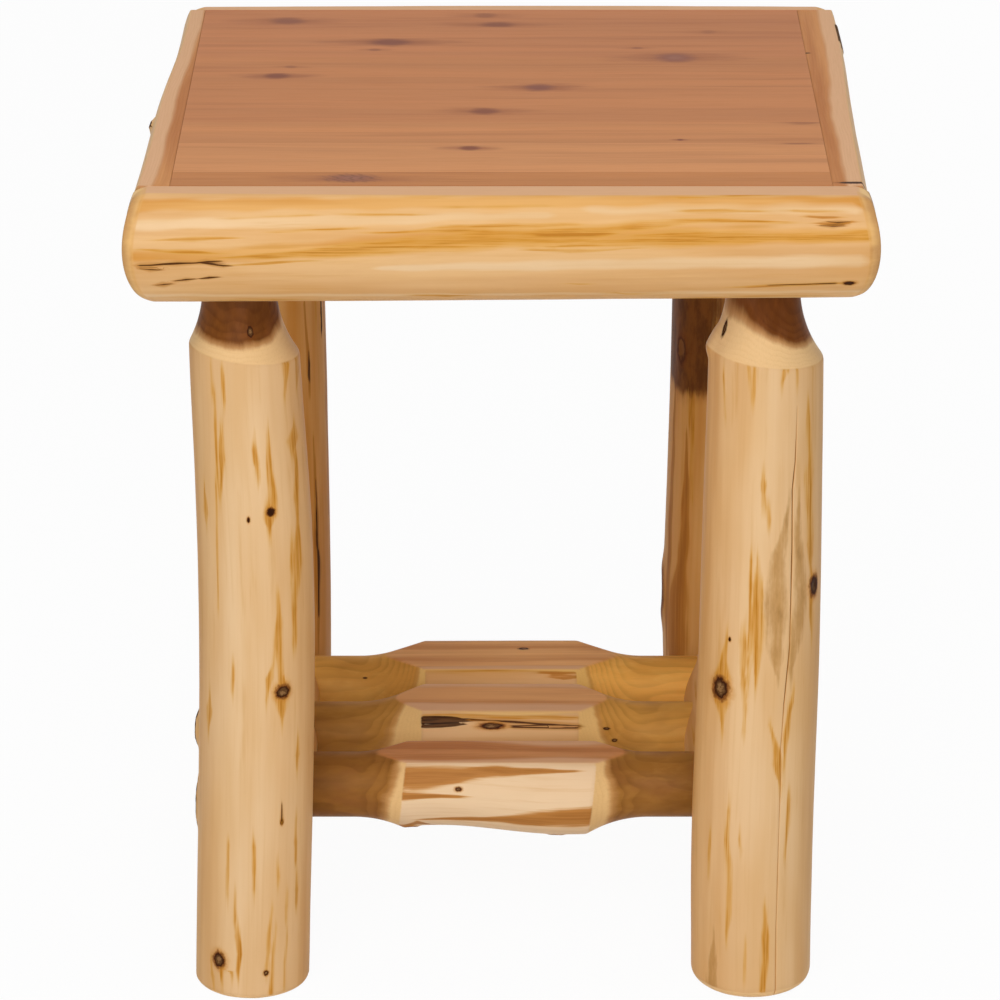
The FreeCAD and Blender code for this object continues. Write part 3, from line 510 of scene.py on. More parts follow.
    # bark left in hollows, knots with a black ring, cracks
    bark = (mesh_value("bark") + ragged).rise(-0.1, 0.3) * (1.0 - is_cut)
    wood = bark.tint(wood, fibre.rise(0.35, 0.65).tint(paint(52, 32, 18), paint(104, 70, 40)))
    knot_x, knot_y, knot_kind = mesh_value("knot", "Vector").parts()
    knot_place = pen.node("ShaderNodeCombineXYZ", None, {0: knot_x, 1: knot_y, 2: place_w * 30.0})
    wobble = (knot_place.noise(1.6, 3.0, 0.6) - 0.5) * 0.9
    away = (pen.math("SQRT", knot_x * knot_x + knot_y * knot_y) + wobble
            + pen.math("LESS_THAN", knot_kind, 0.5) * 9.0)
    soft_knot = knot_kind.rise(2.4, 2.6)
    wood = ((1.0 - away.rise(0.9, 2.0)) * (0.75 - soft_knot * 0.75) * (1.0 - is_cut)).tint(wood, paint(200, 136, 54))
    near_knot = (1.0 - away.rise(0.95, 1.35)) * (0.85 - soft_knot * 0.4) * (1.0 - is_cut * 0.5)
    wood = near_knot.tint(wood, paint(120, 64, 26))
    knot_ring = soft_knot.tint(paint(60, 29, 10), paint(62, 31, 10))
    wood = ((1.0 - away.rise(0.75, 1.0)) * (1.0 - soft_knot * 0.4)).tint(wood, knot_ring)
    core = pen.math("SINE", away * 9.0 + wobble * 6.0)
    centre = core.rise(-0.6, 0.8).tint(paint(98, 66, 36), paint(142, 104, 64))
    centre = knot_kind.rise(1.2, 1.8).tint(centre, paint(50, 24, 8))
    centre = soft_knot.tint(centre, paint(130, 82, 38))
    wood = (1.0 - away.rise(0.45, 0.7)).tint(wood, centre)
    crack_x, crack_y, is_crack = mesh_value("crack", "Vector").parts()
    crack_y = pen.math("ABSOLUTE", crack_y)
    shade = 1.0 - (crack_y * 0.3 + crack_x * 0.6).rise(0.2, 1.3)
    wood = (shade * is_crack * 0.65).tint(wood, paint(186, 122, 42))
    line = 1.0 - (crack_y + (breaks - 0.5) * 3.0 + (fibre - 0.5) * 1.2 + crack_x * 1.4).rise(0.5, 1.2)
    wood = (line * is_crack * 0.94).tint(wood, paint(66, 33, 9))
    check = mesh_value("check")
    wood = (check.rise(0.06, 0.28) * 0.75).tint(wood, paint(186, 126, 52))
    wood = check.rise(0.36, 0.75).tint(wood, paint(72, 46, 24))

    relief = fibre * 0.5 + thread * 0.3 - late * is_cut * 0.5
    normal = pen.node("ShaderNodeBump", None, {"Strength": 0.22, "Distance": 0.0006, "Height": relief})
    gloss = 0.46 + (fibre - 0.5) * 0.16 + bark * 0.3
    cover(pen, {
        "Base Color": wood, "Roughness": gloss, "Normal": normal,
        "Specular IOR Level": 0.04, "Coat Roughness": 0.25,
        "Coat Weight": (1.0 - planed) * away.rise(0.9, 1.2) * 0.04})
    return material


LOG_TREE = log_tree()
PEELED_CEDAR = peeled_cedar()


def fit(piece, node):
    """The piece rides on the table and stands for its solid."""
    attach(piece, "root")
    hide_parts(node)


def make_log(name, log, start, end, diameter, columns, ring_gap, sizes):
    """One log of the table, from the blank to its worked shape and the marks on its skin."""
    piece = log_blank(name + "_log", start, end, diameter, log["stations"], columns, ring_gap, log.get("check", ()))
    run_tree(piece, LOG_TREE, {"Start": start, "End": end, "Seed": log["seed"], "Material": PEELED_CEDAR, **sizes})
    lay_marks(piece, log)
    fit(piece, name)


LEG_TENON, LEG_FLARE, LEG_TOP, TENON_CUTTER = 0.0254, 0.5246, 0.5876, 0.086
FRONT_RIGHT_CHECK = [(450, -56.0), (408, -57.9), (388, -60.6), (345, -60.3), (271, -61.6),
                     (230, -66.1), (195, -68.5), (174, -67.9), (121, -68.7), (58, -69.0), (0, -67.8)]
# wood gives the heartwood's radius, its tone from dark to light and the warmth of the skin, wild the count of
# scattered streaks with their reach along and round the log, and a station the share of the length, the girth
# and the wander of the heart as shares of the diameter
# A leg's skin is painted palest on one side, at the turn that its entry gives, and more golden round the other sides,
# as painted light and shade.
LEGS = {
    "front_left_leg": {
        "place": (-0.180, -0.176), "diameter": 0.082, "seed": 1.0, "columns": 190, "ring_gap": 0.00125,
        "wild": (26, 20, 470, 0, 175), "wood": (0.0295, 0.05, 0.08), "pith": (-0.0028, -0.0036, 0), "foot": 0.005,
        "painted_light_turn": -88,
        "stations": [(0.0, 1.00, 0.005, 0.000), (0.2, 1.00, 0.050, 0.008), (0.4, 1.00, 0.090, 0.012),
            (0.6, 0.985, 0.088, 0.008), (0.8, 0.935, 0.036, 0.000), (1.0, 0.93, 0.020, 0.000)],
        "flames": [[(478, -121, 0.5), (457, -120.5, 0.8)], [(476, -107, 0.5), (465, -106, 1.2), (453, -105, 0.4)],
            [(457, -117, 0.4), (399, -117, 0.9), (347, -118.8, 0.8), (299, -119, 0.6)], [(435, -110, 0.8),
            (410, -110, 2.5), (382, -112.6, 0.6)], [(382, -138, 1.3), (367, -136, 3.6), (357, -135, 0.8)],
            [(428, -61.4, 0.4), (407, -60.9, 1.8), (383, -59.8, 3.2), (368, -60.8, 4.0), (358, -62.3, 0.2)],
            [(418, -74, 1.5), (409, -73.2, 1.7), (398, -71.6, 0.3)], [(481, -34, 4.0), (466, -36.7, 1.7),
            (454, -40.1, 0.6)], [(476, -16, 2.2), (465, -17.3, 3.0), (454, -20.7, 1.0)], [(431, -29, 1.2),
            (420, -30.7, 4.8), (411, -34, 1.9)], [(403, -28.8, 1.7), (378, -31.5, 2.2), (360, -32, 1.1)],
            [(345, -39.7, 0.9), (329, -40.9, 2.0), (316, -41.6, 0.5)], [(355, -32.5, 1.5), (328, -34.7, 4.1),
            (303, -37.7, 2.3), (271, -39.2, 1.7)], [(310, -55.1, 0.3), (289, -55.1, 1.9), (269, -55.1, 2.7),
            (250, -54.7, 1.8), (241, -52.4, 2.4)], [(260, -60.9, 0.4), (248, -64.5, 2.2), (232, -67.9, 0.4)],
            [(233, -54.2, 5.2), (224, -53.4, 3.3), (213, -53, 0.3)], [(198, -35.5, 0.6), (185, -36.3, 1.6),
            (177, -36.6, 0.5)], [(136, -37.7, 0.6), (118, -38.3, 1.5), (103, -38, 0.6)], [(92, -36.7, 0.7),
            (80, -37, 1.5), (70, -37.3, 0.8)], [(102, -59.3, 0.5), (95, -58.9, 1.0), (88, -59.3, 0.4)],
            [(81, -49.5, 0.6), (70, -50.4, 1.3), (61, -50.8, 0.5)], [(71, -65.6, 0.4), (52, -69.3, 1.3),
            (37, -70.5, 0.9), (26, -73.1, 1.5)], [(56, -62, 0.5), (29, -65.4, 1.5), (5, -67.3, 2.2)],
            [(47, -49.8, 0.5), (27, -52.2, 1.3), (7, -53.2, 0.6)], [(120, -110, 0.4), (101, -111.2, 1.2),
            (81, -112.1, 0.6)], [(120, -83.2, 1.3), (103, -83.2, 0.9), (87, -83.6, 0.4)], [(84, -103, 0.4),
            (73, -103.7, 0.9), (61, -104, 0.4)], [(50, -101.3, 1.7), (36, -98.7, 1.5), (23, -101.4, 1.2)],
            [(23, -117, 1.0), (22, -111.3, 2.6), (20, -107.8, 0.7)], [(26, -120.4, 1.6), (17, -119.6, 1.4),
            (10, -118.9, 0.4)], [(25, -134, 0.6), (15, -131.4, 1.7), (4, -129.9, 0.6)], [(256, -101.4, 0.4),
            (246, -101.7, 1.3), (239, -102.4, 0.5)], [(228, -136, 1.6), (219, -137.8, 3.8), (206, -139.3, 1.4)]],
        "knots": [(372, -60.7, 3.2, 2.9, 1.9, 0.5), (367, -82.2, 2.0, 1.1, 1.9, 0.1),
            (237, -52.5, 5.2, 4.9, 1.0, 0.9), (137, -54.5, 2.2, 1.2, 1.9, 0.1), (29, -122.6, 6.0, 5.2, 1.1, 0.8),
            (21, -72.9, 2.0, 1.8, 1.2, 0.3), (500, -73.1, 4.4, 3.4, 1.2, 0.3), (192, 173, 10, 6, 0, 2.6),
            (134, 172, 14, 5, 0, 1.6)],
        "cracks": [[(150, -54.3, 0.3), (138, -54.5, 0.6)]],
        "barks": [[(203, 173, 1.0), (190, 172, 4.6), (182, 172, 1.0)], [(152, 171, 0.8), (138, 171, 3.0),
            (122, 170, 3.4), (118, 171, 0.8)]],
    },
    "front_right_leg": {
        "place": (0.180, -0.176), "diameter": 0.087, "seed": 2.0, "columns": 184, "ring_gap": 0.00125,
        "wild": (26, 20, 470, 5, 180), "wood": (0.0306, 0.02, 0.12), "pith": (0.0015, 0.0002, 0), "foot": 0.010,
        "painted_light_turn": -80, "check": FRONT_RIGHT_CHECK,
        "stations": [(0.0, 0.99, 0.000, 0.000), (0.2, 1.00, -0.008, -0.010), (0.4, 0.985, 0.016, -0.012),
            (0.6, 0.96, 0.026, -0.006), (0.8, 0.92, 0.030, 0.000), (1.0, 0.92, 0.020, 0.000)],
        "flames": [[(484, -107.8, 1.2), (477, -106.2, 1.0), (470, -105.6, 0.3)], [(485, -100.3, 1.0),
            (468, -100.6, 1.3), (456, -100.9, 0.8)], [(487, -70.5, 3.6), (478, -69.8, 2.8), (467, -73, 1.1)],
            [(485, -57.9, 0.9), (466, -57.4, 0.7)], [(468, -137, 0.5), (454, -134.2, 1.1), (438, -132.6, 0.4)],
            [(400, -89.2, 1.1), (393, -88.8, 1.8), (379, -89.3, 0.6)], [(377, -84.7, 0.5), (367, -83.9, 0.5)],
            [(448, -42.9, 1.1), (397, -40.4, 4.1), (337, -37.3, 2.7)], [(304, -34.5, 2.0), (290, -33.1, 2.8),
            (274, -32.9, 0.9)], [(345, -41.6, 0.6), (334, -38.6, 1.3), (319, -35.1, 0.9)], [(321, -89.7, 0.9),
            (312, -89.3, 2.0), (302, -89.7, 1.3)], [(340, -93.4, 0.8), (317, -92.8, 3.0), (294, -92.7, 3.6),
            (272, -92.6, 3.4), (264, -93.1, 2.7), (246, -93.1, 0.6)], [(338, -99.8, 0.4), (304, -99.6, 0.8),
            (271, -99.4, 0.9), (237, -100.7, 0.4)], [(277, -105.5, 2.5), (261, -105.7, 2.5), (246, -106.1, 0.8)],
            [(276, -123, 1.0), (260, -125.2, 2.2), (249, -127.5, 5.7)], [(229, -127.7, 5.5), (220, -126.3, 2.4),
            (207, -124.7, 0.5)], [(246, -103.5, 0.8), (227, -102.6, 1.8), (210, -103, 0.6)], [(215, -79.3, 0.4),
            (199, -74.2, 2.1), (185, -70.5, 3.8), (168, -68, 0.5)], [(222, -61.6, 1.3), (203, -63.6, 2.3),
            (182, -64.9, 0.5)], [(238, -56.2, 0.6), (230, -57.2, 1.3), (222, -60.4, 0.9)], [(148, -116.5, 0.7),
            (138, -116.7, 1.2), (125, -116.8, 1.8), (110, -115.3, 2.1), (92, -113.9, 1.9), (70, -114.9, 2.1),
            (54, -116.1, 1.2)], [(127, -105.3, 0.5), (122, -104.4, 1.0), (119, -103.9, 0.4)], [(74, -81.2, 0.5),
            (52, -78.9, 2.3), (32, -79.6, 2.2), (10, -81.3, 2.2)], [(46, -98.4, 0.4), (32, -98.5, 0.8),
            (16, -98.8, 0.5)], [(128, -136.2, 0.4), (111, -136.8, 1.0), (92, -137.5, 0.5)], [(155, -58.5, 1.2),
            (137, -60, 1.8), (112, -61.6, 0.8)]],
        "greys": [[(379, -64.3, 0.8), (359, -67.8, 2.4), (337, -73, 4.6), (314, -76.2, 6.6), (286, -76.5, 7.0),
            (270, -75, 4.8), (250, -72, 1.0)], [(374, -53.2, 1.6), (352, -53.4, 3.0), (322, -50.8, 3.8),
            (296, -50.6, 5.8), (276, -54.7, 5.2), (256, -60, 1.4)], [(47, -131, 0.8), (27, -131.9, 3.2),
            (8, -132.9, 4.6)]],
        "knots": [(312, -31.6, 8.0, 4.9, 1.6, 0.7), (239, -128.1, 8.4, 6.9, 1.0, 1.0),
            (277, -119.5, 1.6, 1.0, 1.9, 0.1), (498, -153, 6.4, 3.0, 1.5, 0.5), (486, 184, 9.0, 9.0, 0, 2.2)],
    },
    "rear_left_leg": {
        "place": (-0.180, 0.176), "diameter": 0.088, "seed": 3.0, "columns": 160, "ring_gap": 0.0016,
        "wild": (30, 20, 470, 0, 230), "wood": (0.030, 0.0, 0.6), "pith": (-0.004, 0.002, 0), "foot": 0.010,
        "painted_light_turn": 100,
        "stations": [(0.0, 0.99, 0.020, 0.000), (0.2, 1.02, 0.035, -0.008), (0.4, 1.00, 0.045, -0.014),
            (0.6, 0.98, 0.045, -0.010), (0.8, 0.96, 0.035, 0.000), (1.0, 0.95, 0.020, 0.000)],
        "flames": [[(480, -30, 1.0), (440, -28, 3.0), (380, -31, 1.0)], [(400, 40, 0.8), (340, 44, 3.5),
            (270, 42, 1.0)], [(330, 150, 1.0), (250, 148, 4.0), (180, 150, 0.8)], [(470, 110, 1.0), (430, 112, 3.0),
            (380, 111, 0.6)], [(160, 60, 0.8), (100, 62, 2.6), (40, 61, 0.8)], [(240, 95, 0.6), (190, 96, 2.4),
            (120, 94, 0.6)]],
        "browns": [[(430, -12, 0.8), (330, -8, 4.0), (230, -10, 2.0)], [(405, -46, 0.8), (372, -43, 1.4),
            (345, -42, 1.6), (330, -42, 0.4)], [(296, -38, 0.5), (247, -36.5, 1.8), (194, -35, 3.4),
            (162, -35.5, 2.6), (120, -35, 0.6)]],
        "barks": [[(262, -37, 0.4), (230, -36.5, 0.9), (196, -35, 1.7), (176, -35, 1.2), (150, -35, 0.4)],
            [(366, -42, 0.4), (356, -42, 0.9), (347, -42.5, 1.3), (342, -42, 0.4)], [(412, -22, 0.5),
            (396, -20, 1.8), (378, -21, 0.5)]],
        "knots": [(362, 64, 5.5, 4.6, 1.0, 0.9), (214, 128, 4.6, 4.2, 1.2, 0.6), (92, 20, 5.0, 4.4, 1.0, 0.7)],
    },
    "rear_right_leg": {
        "place": (0.180, 0.176), "diameter": 0.094, "seed": 4.0, "columns": 160, "ring_gap": 0.0016,
        "wild": (30, 20, 470, -50, 180), "wood": (0.031, 0.0, 0.6), "pith": (-0.005, -0.004, 0), "foot": 0.012,
        "painted_light_turn": 80,
        "stations": [(0.0, 0.97, -0.020, 0.000), (0.2, 1.04, -0.058, 0.010), (0.4, 1.02, -0.056, 0.012),
            (0.6, 0.99, -0.045, 0.008), (0.8, 0.98, -0.040, 0.004), (1.0, 0.96, -0.030, 0.000)],
        "flames": [[(430, -135, 1.2), (340, -137, 4.0), (250, -134, 1.4)], [(420, -115, 0.8), (350, -112, 2.6),
            (260, -114, 0.8)], [(470, 60, 1.0), (410, 62, 3.2), (340, 60, 0.8)], [(300, 20, 0.8), (220, 22, 3.6),
            (140, 21, 1.0)], [(260, 120, 0.8), (180, 118, 3.0), (90, 121, 0.8)]],
        "browns": [[(300, -142, 0.6), (262, -140, 2.6), (226, -141, 4.0), (196, -143, 5.0), (160, -148, 9.5),
            (120, -150, 10.0), (70, -150, 2.0)], [(340, -160, 0.8), (300, -161, 2.0), (230, -162, 3.0),
            (150, -164, 3.0), (110, -164, 1.0)]],
        "stains": [[(470, -146, 20.0), (410, -146, 27.0), (376, -146, 27.0), (350, -145, 26.0), (342, -145, 24.0)]],
        "knots": [(366, -151, 13.0, 6.0, 3.0, 0.5), (160, 176, 22.0, 10.0, 1.0, 2.2), (150, 70, 5.0, 4.5, 1.0, 0.8),
            (390, 30, 4.4, 3.8, 1.3, 0.6)],
    },
}
for name, leg in LEGS.items():
    make_log(name, leg, 0.0, LEG_TOP, leg["diameter"], leg["columns"], leg["ring_gap"], {
        "End Tenon": LEG_TENON, "End Flare": LEG_FLARE, "Cutter Radius": TENON_CUTTER,
        "Start Round": leg["foot"], "Origin": (*leg["place"], 0.0), "Pith": leg["pith"]})


# Stretchers
# Two short logs low between the legs of each side, tenoned into the legs.
# Each is bored for the ends of the three shelf slats.

STRETCHER_HALF, STRETCHER_DIAMETER, SHORT_CUTTER = 0.182, 0.084, 0.045
STRETCHER_COLUMNS, STRETCHER_RING_GAP = 160, 0.0016
SHELF_TENON, SHELF_HEIGHT = 0.0238, 0.115
STRETCHERS = {
    "left_stretcher": {
        "x": -0.180, "seed": 5.0, "wild": (22, -110, 110, 0, 360), "flare": (-0.1322, 0.1291),
        "wood": (0.031, 0.43, 0.7),
        "stations": [(-0.5, 0.97, 0.00, 0.00), (-0.2, 1.01, -0.01, -0.01), (0.0, 1.00, -0.02, 0.00),
            (0.2, 1.02, 0.00, 0.01), (0.5, 0.98, 0.00, 0.00)],
        "flames": [[(-100, 20, 1.0), (-40, 24, 3.4), (30, 22, 1.0)], [(0, -40, 0.8), (60, -42, 3.0),
            (110, -40, 0.8)], [(-80, 100, 0.8), (-20, 98, 2.8), (60, 101, 0.6)]],
        "knots": [(-46, 15, 5.0, 4.4, 1.0, 0.8), (70, 50, 4.0, 3.4, 1.3, 0.5)],
    },
    "right_stretcher": {
        "x": 0.180, "seed": 6.0, "wild": (22, -110, 110, 0, 360), "flare": (-0.1296, 0.1259),
        "wood": (0.031, 0.43, 0.7),
        "stations": [(-0.5, 0.98, 0.00, 0.00), (-0.2, 1.02, 0.01, 0.01), (0.0, 1.01, 0.02, 0.01),
            (0.2, 0.99, 0.00, -0.01), (0.5, 0.97, 0.00, 0.00)],
        "flames": [[(-90, 160, 1.0), (-30, 158, 3.0), (40, 161, 1.0)], [(10, 200, 0.8), (70, 198, 3.2),
            (115, 200, 0.8)], [(-70, 80, 0.8), (0, 82, 2.6), (70, 80, 0.6)]],
        "knots": [(38, 165, 5.2, 4.6, 1.1, 0.8), (-80, 140, 3.6, 3.0, 1.4, 0.4)],
    },
}
for name, stretcher in STRETCHERS.items():
    make_log(name, stretcher, -STRETCHER_HALF, STRETCHER_HALF, STRETCHER_DIAMETER,
             STRETCHER_COLUMNS, STRETCHER_RING_GAP, {
        "Start Tenon": SHELF_TENON, "End Tenon": SHELF_TENON, "Cutter Radius": SHORT_CUTTER,
        "Start Flare": stretcher["flare"][0], "End Flare": stretcher["flare"][1], "Pith": (0.002, 0.001, 0),
        "Origin": (stretcher["x"], 0.0, SHELF_HEIGHT), "Across": (-1, 0, 0), "Up": (0, 0, 1), "Along": (0, 1, 0)})


# Shelf slats
# Three logs side by side make the shelf. Each has its upper side planed flat, which shows
# red heartwood with a pale edge, and a flared tenon at each end that shows the year rings.

SLAT_HALF, SLAT_FLARE, SLAT_BEVEL_TURN = 0.186, 0.107, math.radians(28)
SLAT_COLUMNS, SLAT_RING_GAP = 190, 0.00125
SLATS = {
    "front_slat": {
        "y": -0.092, "rise": -0.001, "diameter": 0.067, "flat": 0.026, "bevel": 0.0322, "seed": 7.0,
        "wild": (10, -60, 60, -90, 40), "wood": (0.0298, 0.25, -0.55), "lighter_end": 0.4, "pith": (0.001, 0.001, 0),
        "stations": [(-0.5, 0.98, 0.00, 0.00), (-0.3, 0.99, 0.00, 0.00), (-0.1, 0.96, 0.01, 0.03),
            (0.1, 1.04, 0.00, -0.03), (0.3, 1.00, 0.00, 0.00), (0.5, 0.98, 0.00, 0.00)],
        "browns": [[(-80, 148.5, 8.5), (-64, 148.5, 8.3), (-46, 146.9, 6.2), (-24, 143.7, 4.4), (-2, 140.5, 3.5),
            (24, 139.9, 2.5), (53, 140, 0.4)], [(-75, 172.6, 2.6), (-64, 172.6, 2.5), (-50, 172.7, 1.7),
            (-32, 172.7, 0.6)], [(-54, 214, 1.2), (-13, 210, 2.6), (15, 206, 5.0), (43, 201, 7.2), (69, 200, 7.8),
            (85, 200, 7.6)], [(-80, 240, 3.0), (-70, 240, 4.0), (-61, 226, 4.2), (-50, 237, 1.0)]],
        "flames": [[(-60, 30, 1.0), (0, 32, 3.0), (60, 30, 1.0)]],
        "knots": [(-31, 163, 2.4, 1.6, 1.4, 0.2), (40, 250, 5.0, 4.0, 1.2, 0.9), (-66, 246, 5.0, 4.4, 1.2, 1.6),
            (30, 20, 4.0, 3.5, 1.1, 0.6)],
    },
    "middle_slat": {
        "y": 0.0, "rise": 0.0, "diameter": 0.080, "flat": 0.0294, "bevel": 0.0379, "seed": 8.0,
        "wild": (10, -50, 50, -110, 40), "wood": (0.0305, 0.52, 0.3), "lighter_end": 1.1, "pith": (0.003, 0.003, 0),
        "stations": [(-0.50, 0.98, 0.00, 0.00), (-0.15, 1.00, 0.01, 0.00), (0.00, 1.01, 0.00, 0.01),
            (0.15, 0.99, -0.01, 0.00), (0.50, 0.98, 0.00, 0.00)],
        "flames": [[(-60, 137.5, 1.2), (0, 138.5, 1.8), (60, 140, 1.2)], [(-50, 200, 1.0), (0, 204, 3.0),
            (50, 202, 1.0)], [(-60, -20, 1.0), (0, -22, 3.4), (60, -21, 1.0)]],
        "barks": [[(-58, 142.4, 3.6), (-36, 143.2, 3.4), (-29, 142.6, 1.3), (-20, 143.0, 0.5), (-12, 143.4, 0.1)],
            [(-57, 150.1, 0.9), (-39, 148.8, 1.1), (-28, 147.2, 0.4)]],
        "cracks": [[(-22, 142.8, 0.5), (-6, 143.4, 0.7), (14, 145.4, 0.8), (30, 147.2, 0.9), (58, 149, 0.7)],
            [(9, 150.4, 0.5), (30, 151, 0.6), (56, 151.8, 0.5)]],
        "knots": [(-7, 149.2, 9.0, 2.4, 1.1, 0.5), (20, 10, 4.5, 4.0, 1.0, 0.7), (78, 150, 2.8, 1.7, 1.5, 0.0),
            (84, 168, 2.4, 2.0, 1.0, 0.0)],
    },
    "rear_slat": {
        "y": 0.084, "rise": 0.0025, "diameter": 0.080, "flat": 0.0268, "bevel": 0.0369, "seed": 9.0,
        "wild": (10, -50, 50, -110, 40), "wood": (0.0345, 0.87, 0.5), "lighter_end": 1.0, "pith": (0.002, 0.003, 0),
        "stations": [(-0.50, 0.98, 0.00, 0.00), (-0.15, 0.99, -0.01, 0.00), (0.00, 1.00, 0.00, 0.00),
            (0.15, 1.02, 0.01, 0.01), (0.50, 0.98, 0.00, 0.00)],
        "flames": [[(-60, 136.0, 2.4), (-13, 135.5, 3.4), (58, 136.4, 2.4)], [(-50, 10, 1.0), (0, 12, 3.0),
            (60, 10, 1.0)], [(-40, 190, 1.0), (20, 188, 3.0), (60, 190, 1.0)]],
        "browns": [[(30, 141.6, 0.6), (41, 142.2, 1.7), (56, 141.8, 0.6)], [(38, 146.6, 0.5), (47, 147.2, 1.5),
            (53, 147.0, 1.4), (62, 146.6, 0.5)]],
        "knots": [(-30, 200, 4.0, 3.5, 1.0, 0.6), (17, 67, 4.4, 3.0, 1.3, 0.0), (-103, 141, 1.8, 1.3, 1.5, 0.0)],
    },
}
for name, slat in SLATS.items():
    make_log(name, slat, -SLAT_HALF, SLAT_HALF, slat["diameter"], SLAT_COLUMNS, SLAT_RING_GAP, {
        "Start Tenon": SHELF_TENON, "End Tenon": SHELF_TENON, "Cutter Radius": TENON_CUTTER,
        "Start Flare": -SLAT_FLARE, "End Flare": SLAT_FLARE, "Planed Top": slat["flat"], "Pith": slat["pith"],
        "Bevel": slat["bevel"], "Bevel Turn": SLAT_BEVEL_TURN,
        "Origin": (0.0, slat["y"], SHELF_HEIGHT + slat["rise"]),
        "Across": (0, 1, 0), "Up": (0, 0, 1), "Along": (1, 0, 0)})


# Battens
# Two planed softwood boards across the underside of the top, one over each pair of legs.
# The leg tenons sit in their bores, and screws draw the top boards down on them.

def softwood():
    """Planed, unfinished softwood with the grain along Y."""
    material, pen = bare_material("planed_softwood")
    place = pen.node("ShaderNodeTexCoord", output="Object")
    bend = place.noise(14.0, 2.0, stretch=(1, 0.25, 1))
    x, _, z = place.parts()
    ring = pen.math("FRACT", (x + z * 0.35) / 0.0048 + bend * 9.0)
    late = ring.rise(0.45, 0.92) * (1.0 - ring.rise(0.94, 1.0))
    fibre = place.noise(900.0, 3.0, 0.6, stretch=(1, 0.02, 1))
    wood = (late * 0.55).tint(paint(214, 172, 118), paint(178, 122, 68))
    wood = (fibre.rise(0.42, 0.7) * 0.25).tint(wood, paint(190, 142, 90))
    normal = pen.node("ShaderNodeBump", None, {"Strength": 0.2, "Distance": 0.0005, "Height": fibre})
    cover(pen, {"Base Color": wood, "Roughness": 0.6 + (fibre - 0.5) * 0.2, "Normal": normal})
    return material


def dress(node, material):
    """Gives a solid of the frame its finish."""
    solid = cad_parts[node]
    solid.data.materials.clear()
    solid.data.materials.append(material)


SOFTWOOD = softwood()
for name in ("left_batten", "right_batten"):
    dress(name, SOFTWOOD)


# Top boards
# Seven red cedar heartwood boards, tongued and grooved edge to edge into one flush panel
# and sanded together. Grey-brown knots sit in long dark swirls of the grain.

def cedar_board(number, tone, knots):
    """Red cedar heartwood with the grain along X. A knot has its place, half length and half width in mm,
    its strength, and how grey it is. One that is greyer than 1 has slanting strokes across it."""
    material, pen = bare_material(f"cedar_heartwood_{number}")
    place = pen.node("ShaderNodeTexCoord", output="Object")
    x, y, _ = place.parts()
    swirl = (place.noise(9.0, 2.0, stretch=(0.35, 1, 1), shift=number * 3.3) - 0.5) * 0.02
    grain = pen.node("ShaderNodeCombineXYZ", None, {0: x * 0.035, 1: y + swirl, 2: number * 1.7})
    line = grain.noise(520.0, 4.0, 0.62)
    band = grain.noise(95.0, 3.0, 0.55, shift=2.0)
    wash = grain.noise(30.0, 2.0, 0.5, shift=5.0)
    pore = place.noise(1500.0, 2.0, 0.6, stretch=(0.03, 1, 1))
    fleck = place.noise(160.0, 3.0, 0.6, stretch=(0.25, 1, 1), shift=number * 1.9)
    light = tuple(min(c * 1.14, 1.0) for c in tone[:3]) + (1.0,)
    dark = tuple(c * k for c, k in zip(tone, (0.79, 0.7, 0.66))) + (1.0,)
    wood = wash.rise(0.35, 0.65).tint(tone, light)
    wood = (band.rise(0.48, 0.72) * 0.5).tint(wood, dark)
    wood = (line.rise(0.46, 0.74) * 0.22).tint(wood, dark)
    wood = (pore.rise(0.5, 0.8) * 0.1).tint(wood, paint(120, 72, 48))
    for knot_x, knot_y, half_long, half_wide, strength, grey in knots:
        ragged = (line - 0.5) * 1.2 + (band - 0.5) * 1.2 + (fleck - 0.5) * 1.6
        across = (y + swirl * 0.3 - knot_y / 1000) / (half_wide / 1000)
        along = (x - knot_x / 1000) / (half_long / 1000)
        tail = pen.math("SQRT", along * along * 0.1 + across * across * 0.8) + ragged * 0.6
        wood = ((1.0 - tail.rise(0.15, 1.2)) * (0.62 * strength)).tint(wood, paint(146, 82, 48))
        eye = pen.math("SQRT", along * along + across * across) + ragged * 0.35
        body = paint(124 + 10 * min(grey, 1), 66 + 14 * min(grey, 1), 42 + 22 * min(grey, 1))
        wood = ((1.0 - eye.rise(0.35, 1.2)) * (0.85 * strength)).tint(wood, body)
        if grey > 0.85:
            wood = ((1.0 - eye.rise(0.1, 0.6)) * (0.35 * strength)).tint(wood, paint(160, 112, 92))
        if grey > 1.0:
            stroke = pen.math("SINE", (x + y) * 820.0 + (fleck - 0.5) * 16.0).rise(0.1, 1.0)
            wood = (stroke * (1.0 - eye.rise(0.6, 1.3)) * 0.5).tint(wood, paint(110, 68, 40))
    relief = line * 0.6 + pore * 0.4
    normal = pen.node("ShaderNodeBump", None, {"Strength": 0.12, "Distance": 0.0004, "Height": relief})
    cover(pen, {
        "Base Color": wood, "Roughness": 0.5 + (line - 0.5) * 0.14, "Normal": normal,
        "Specular IOR Level": 0.1})
    return material


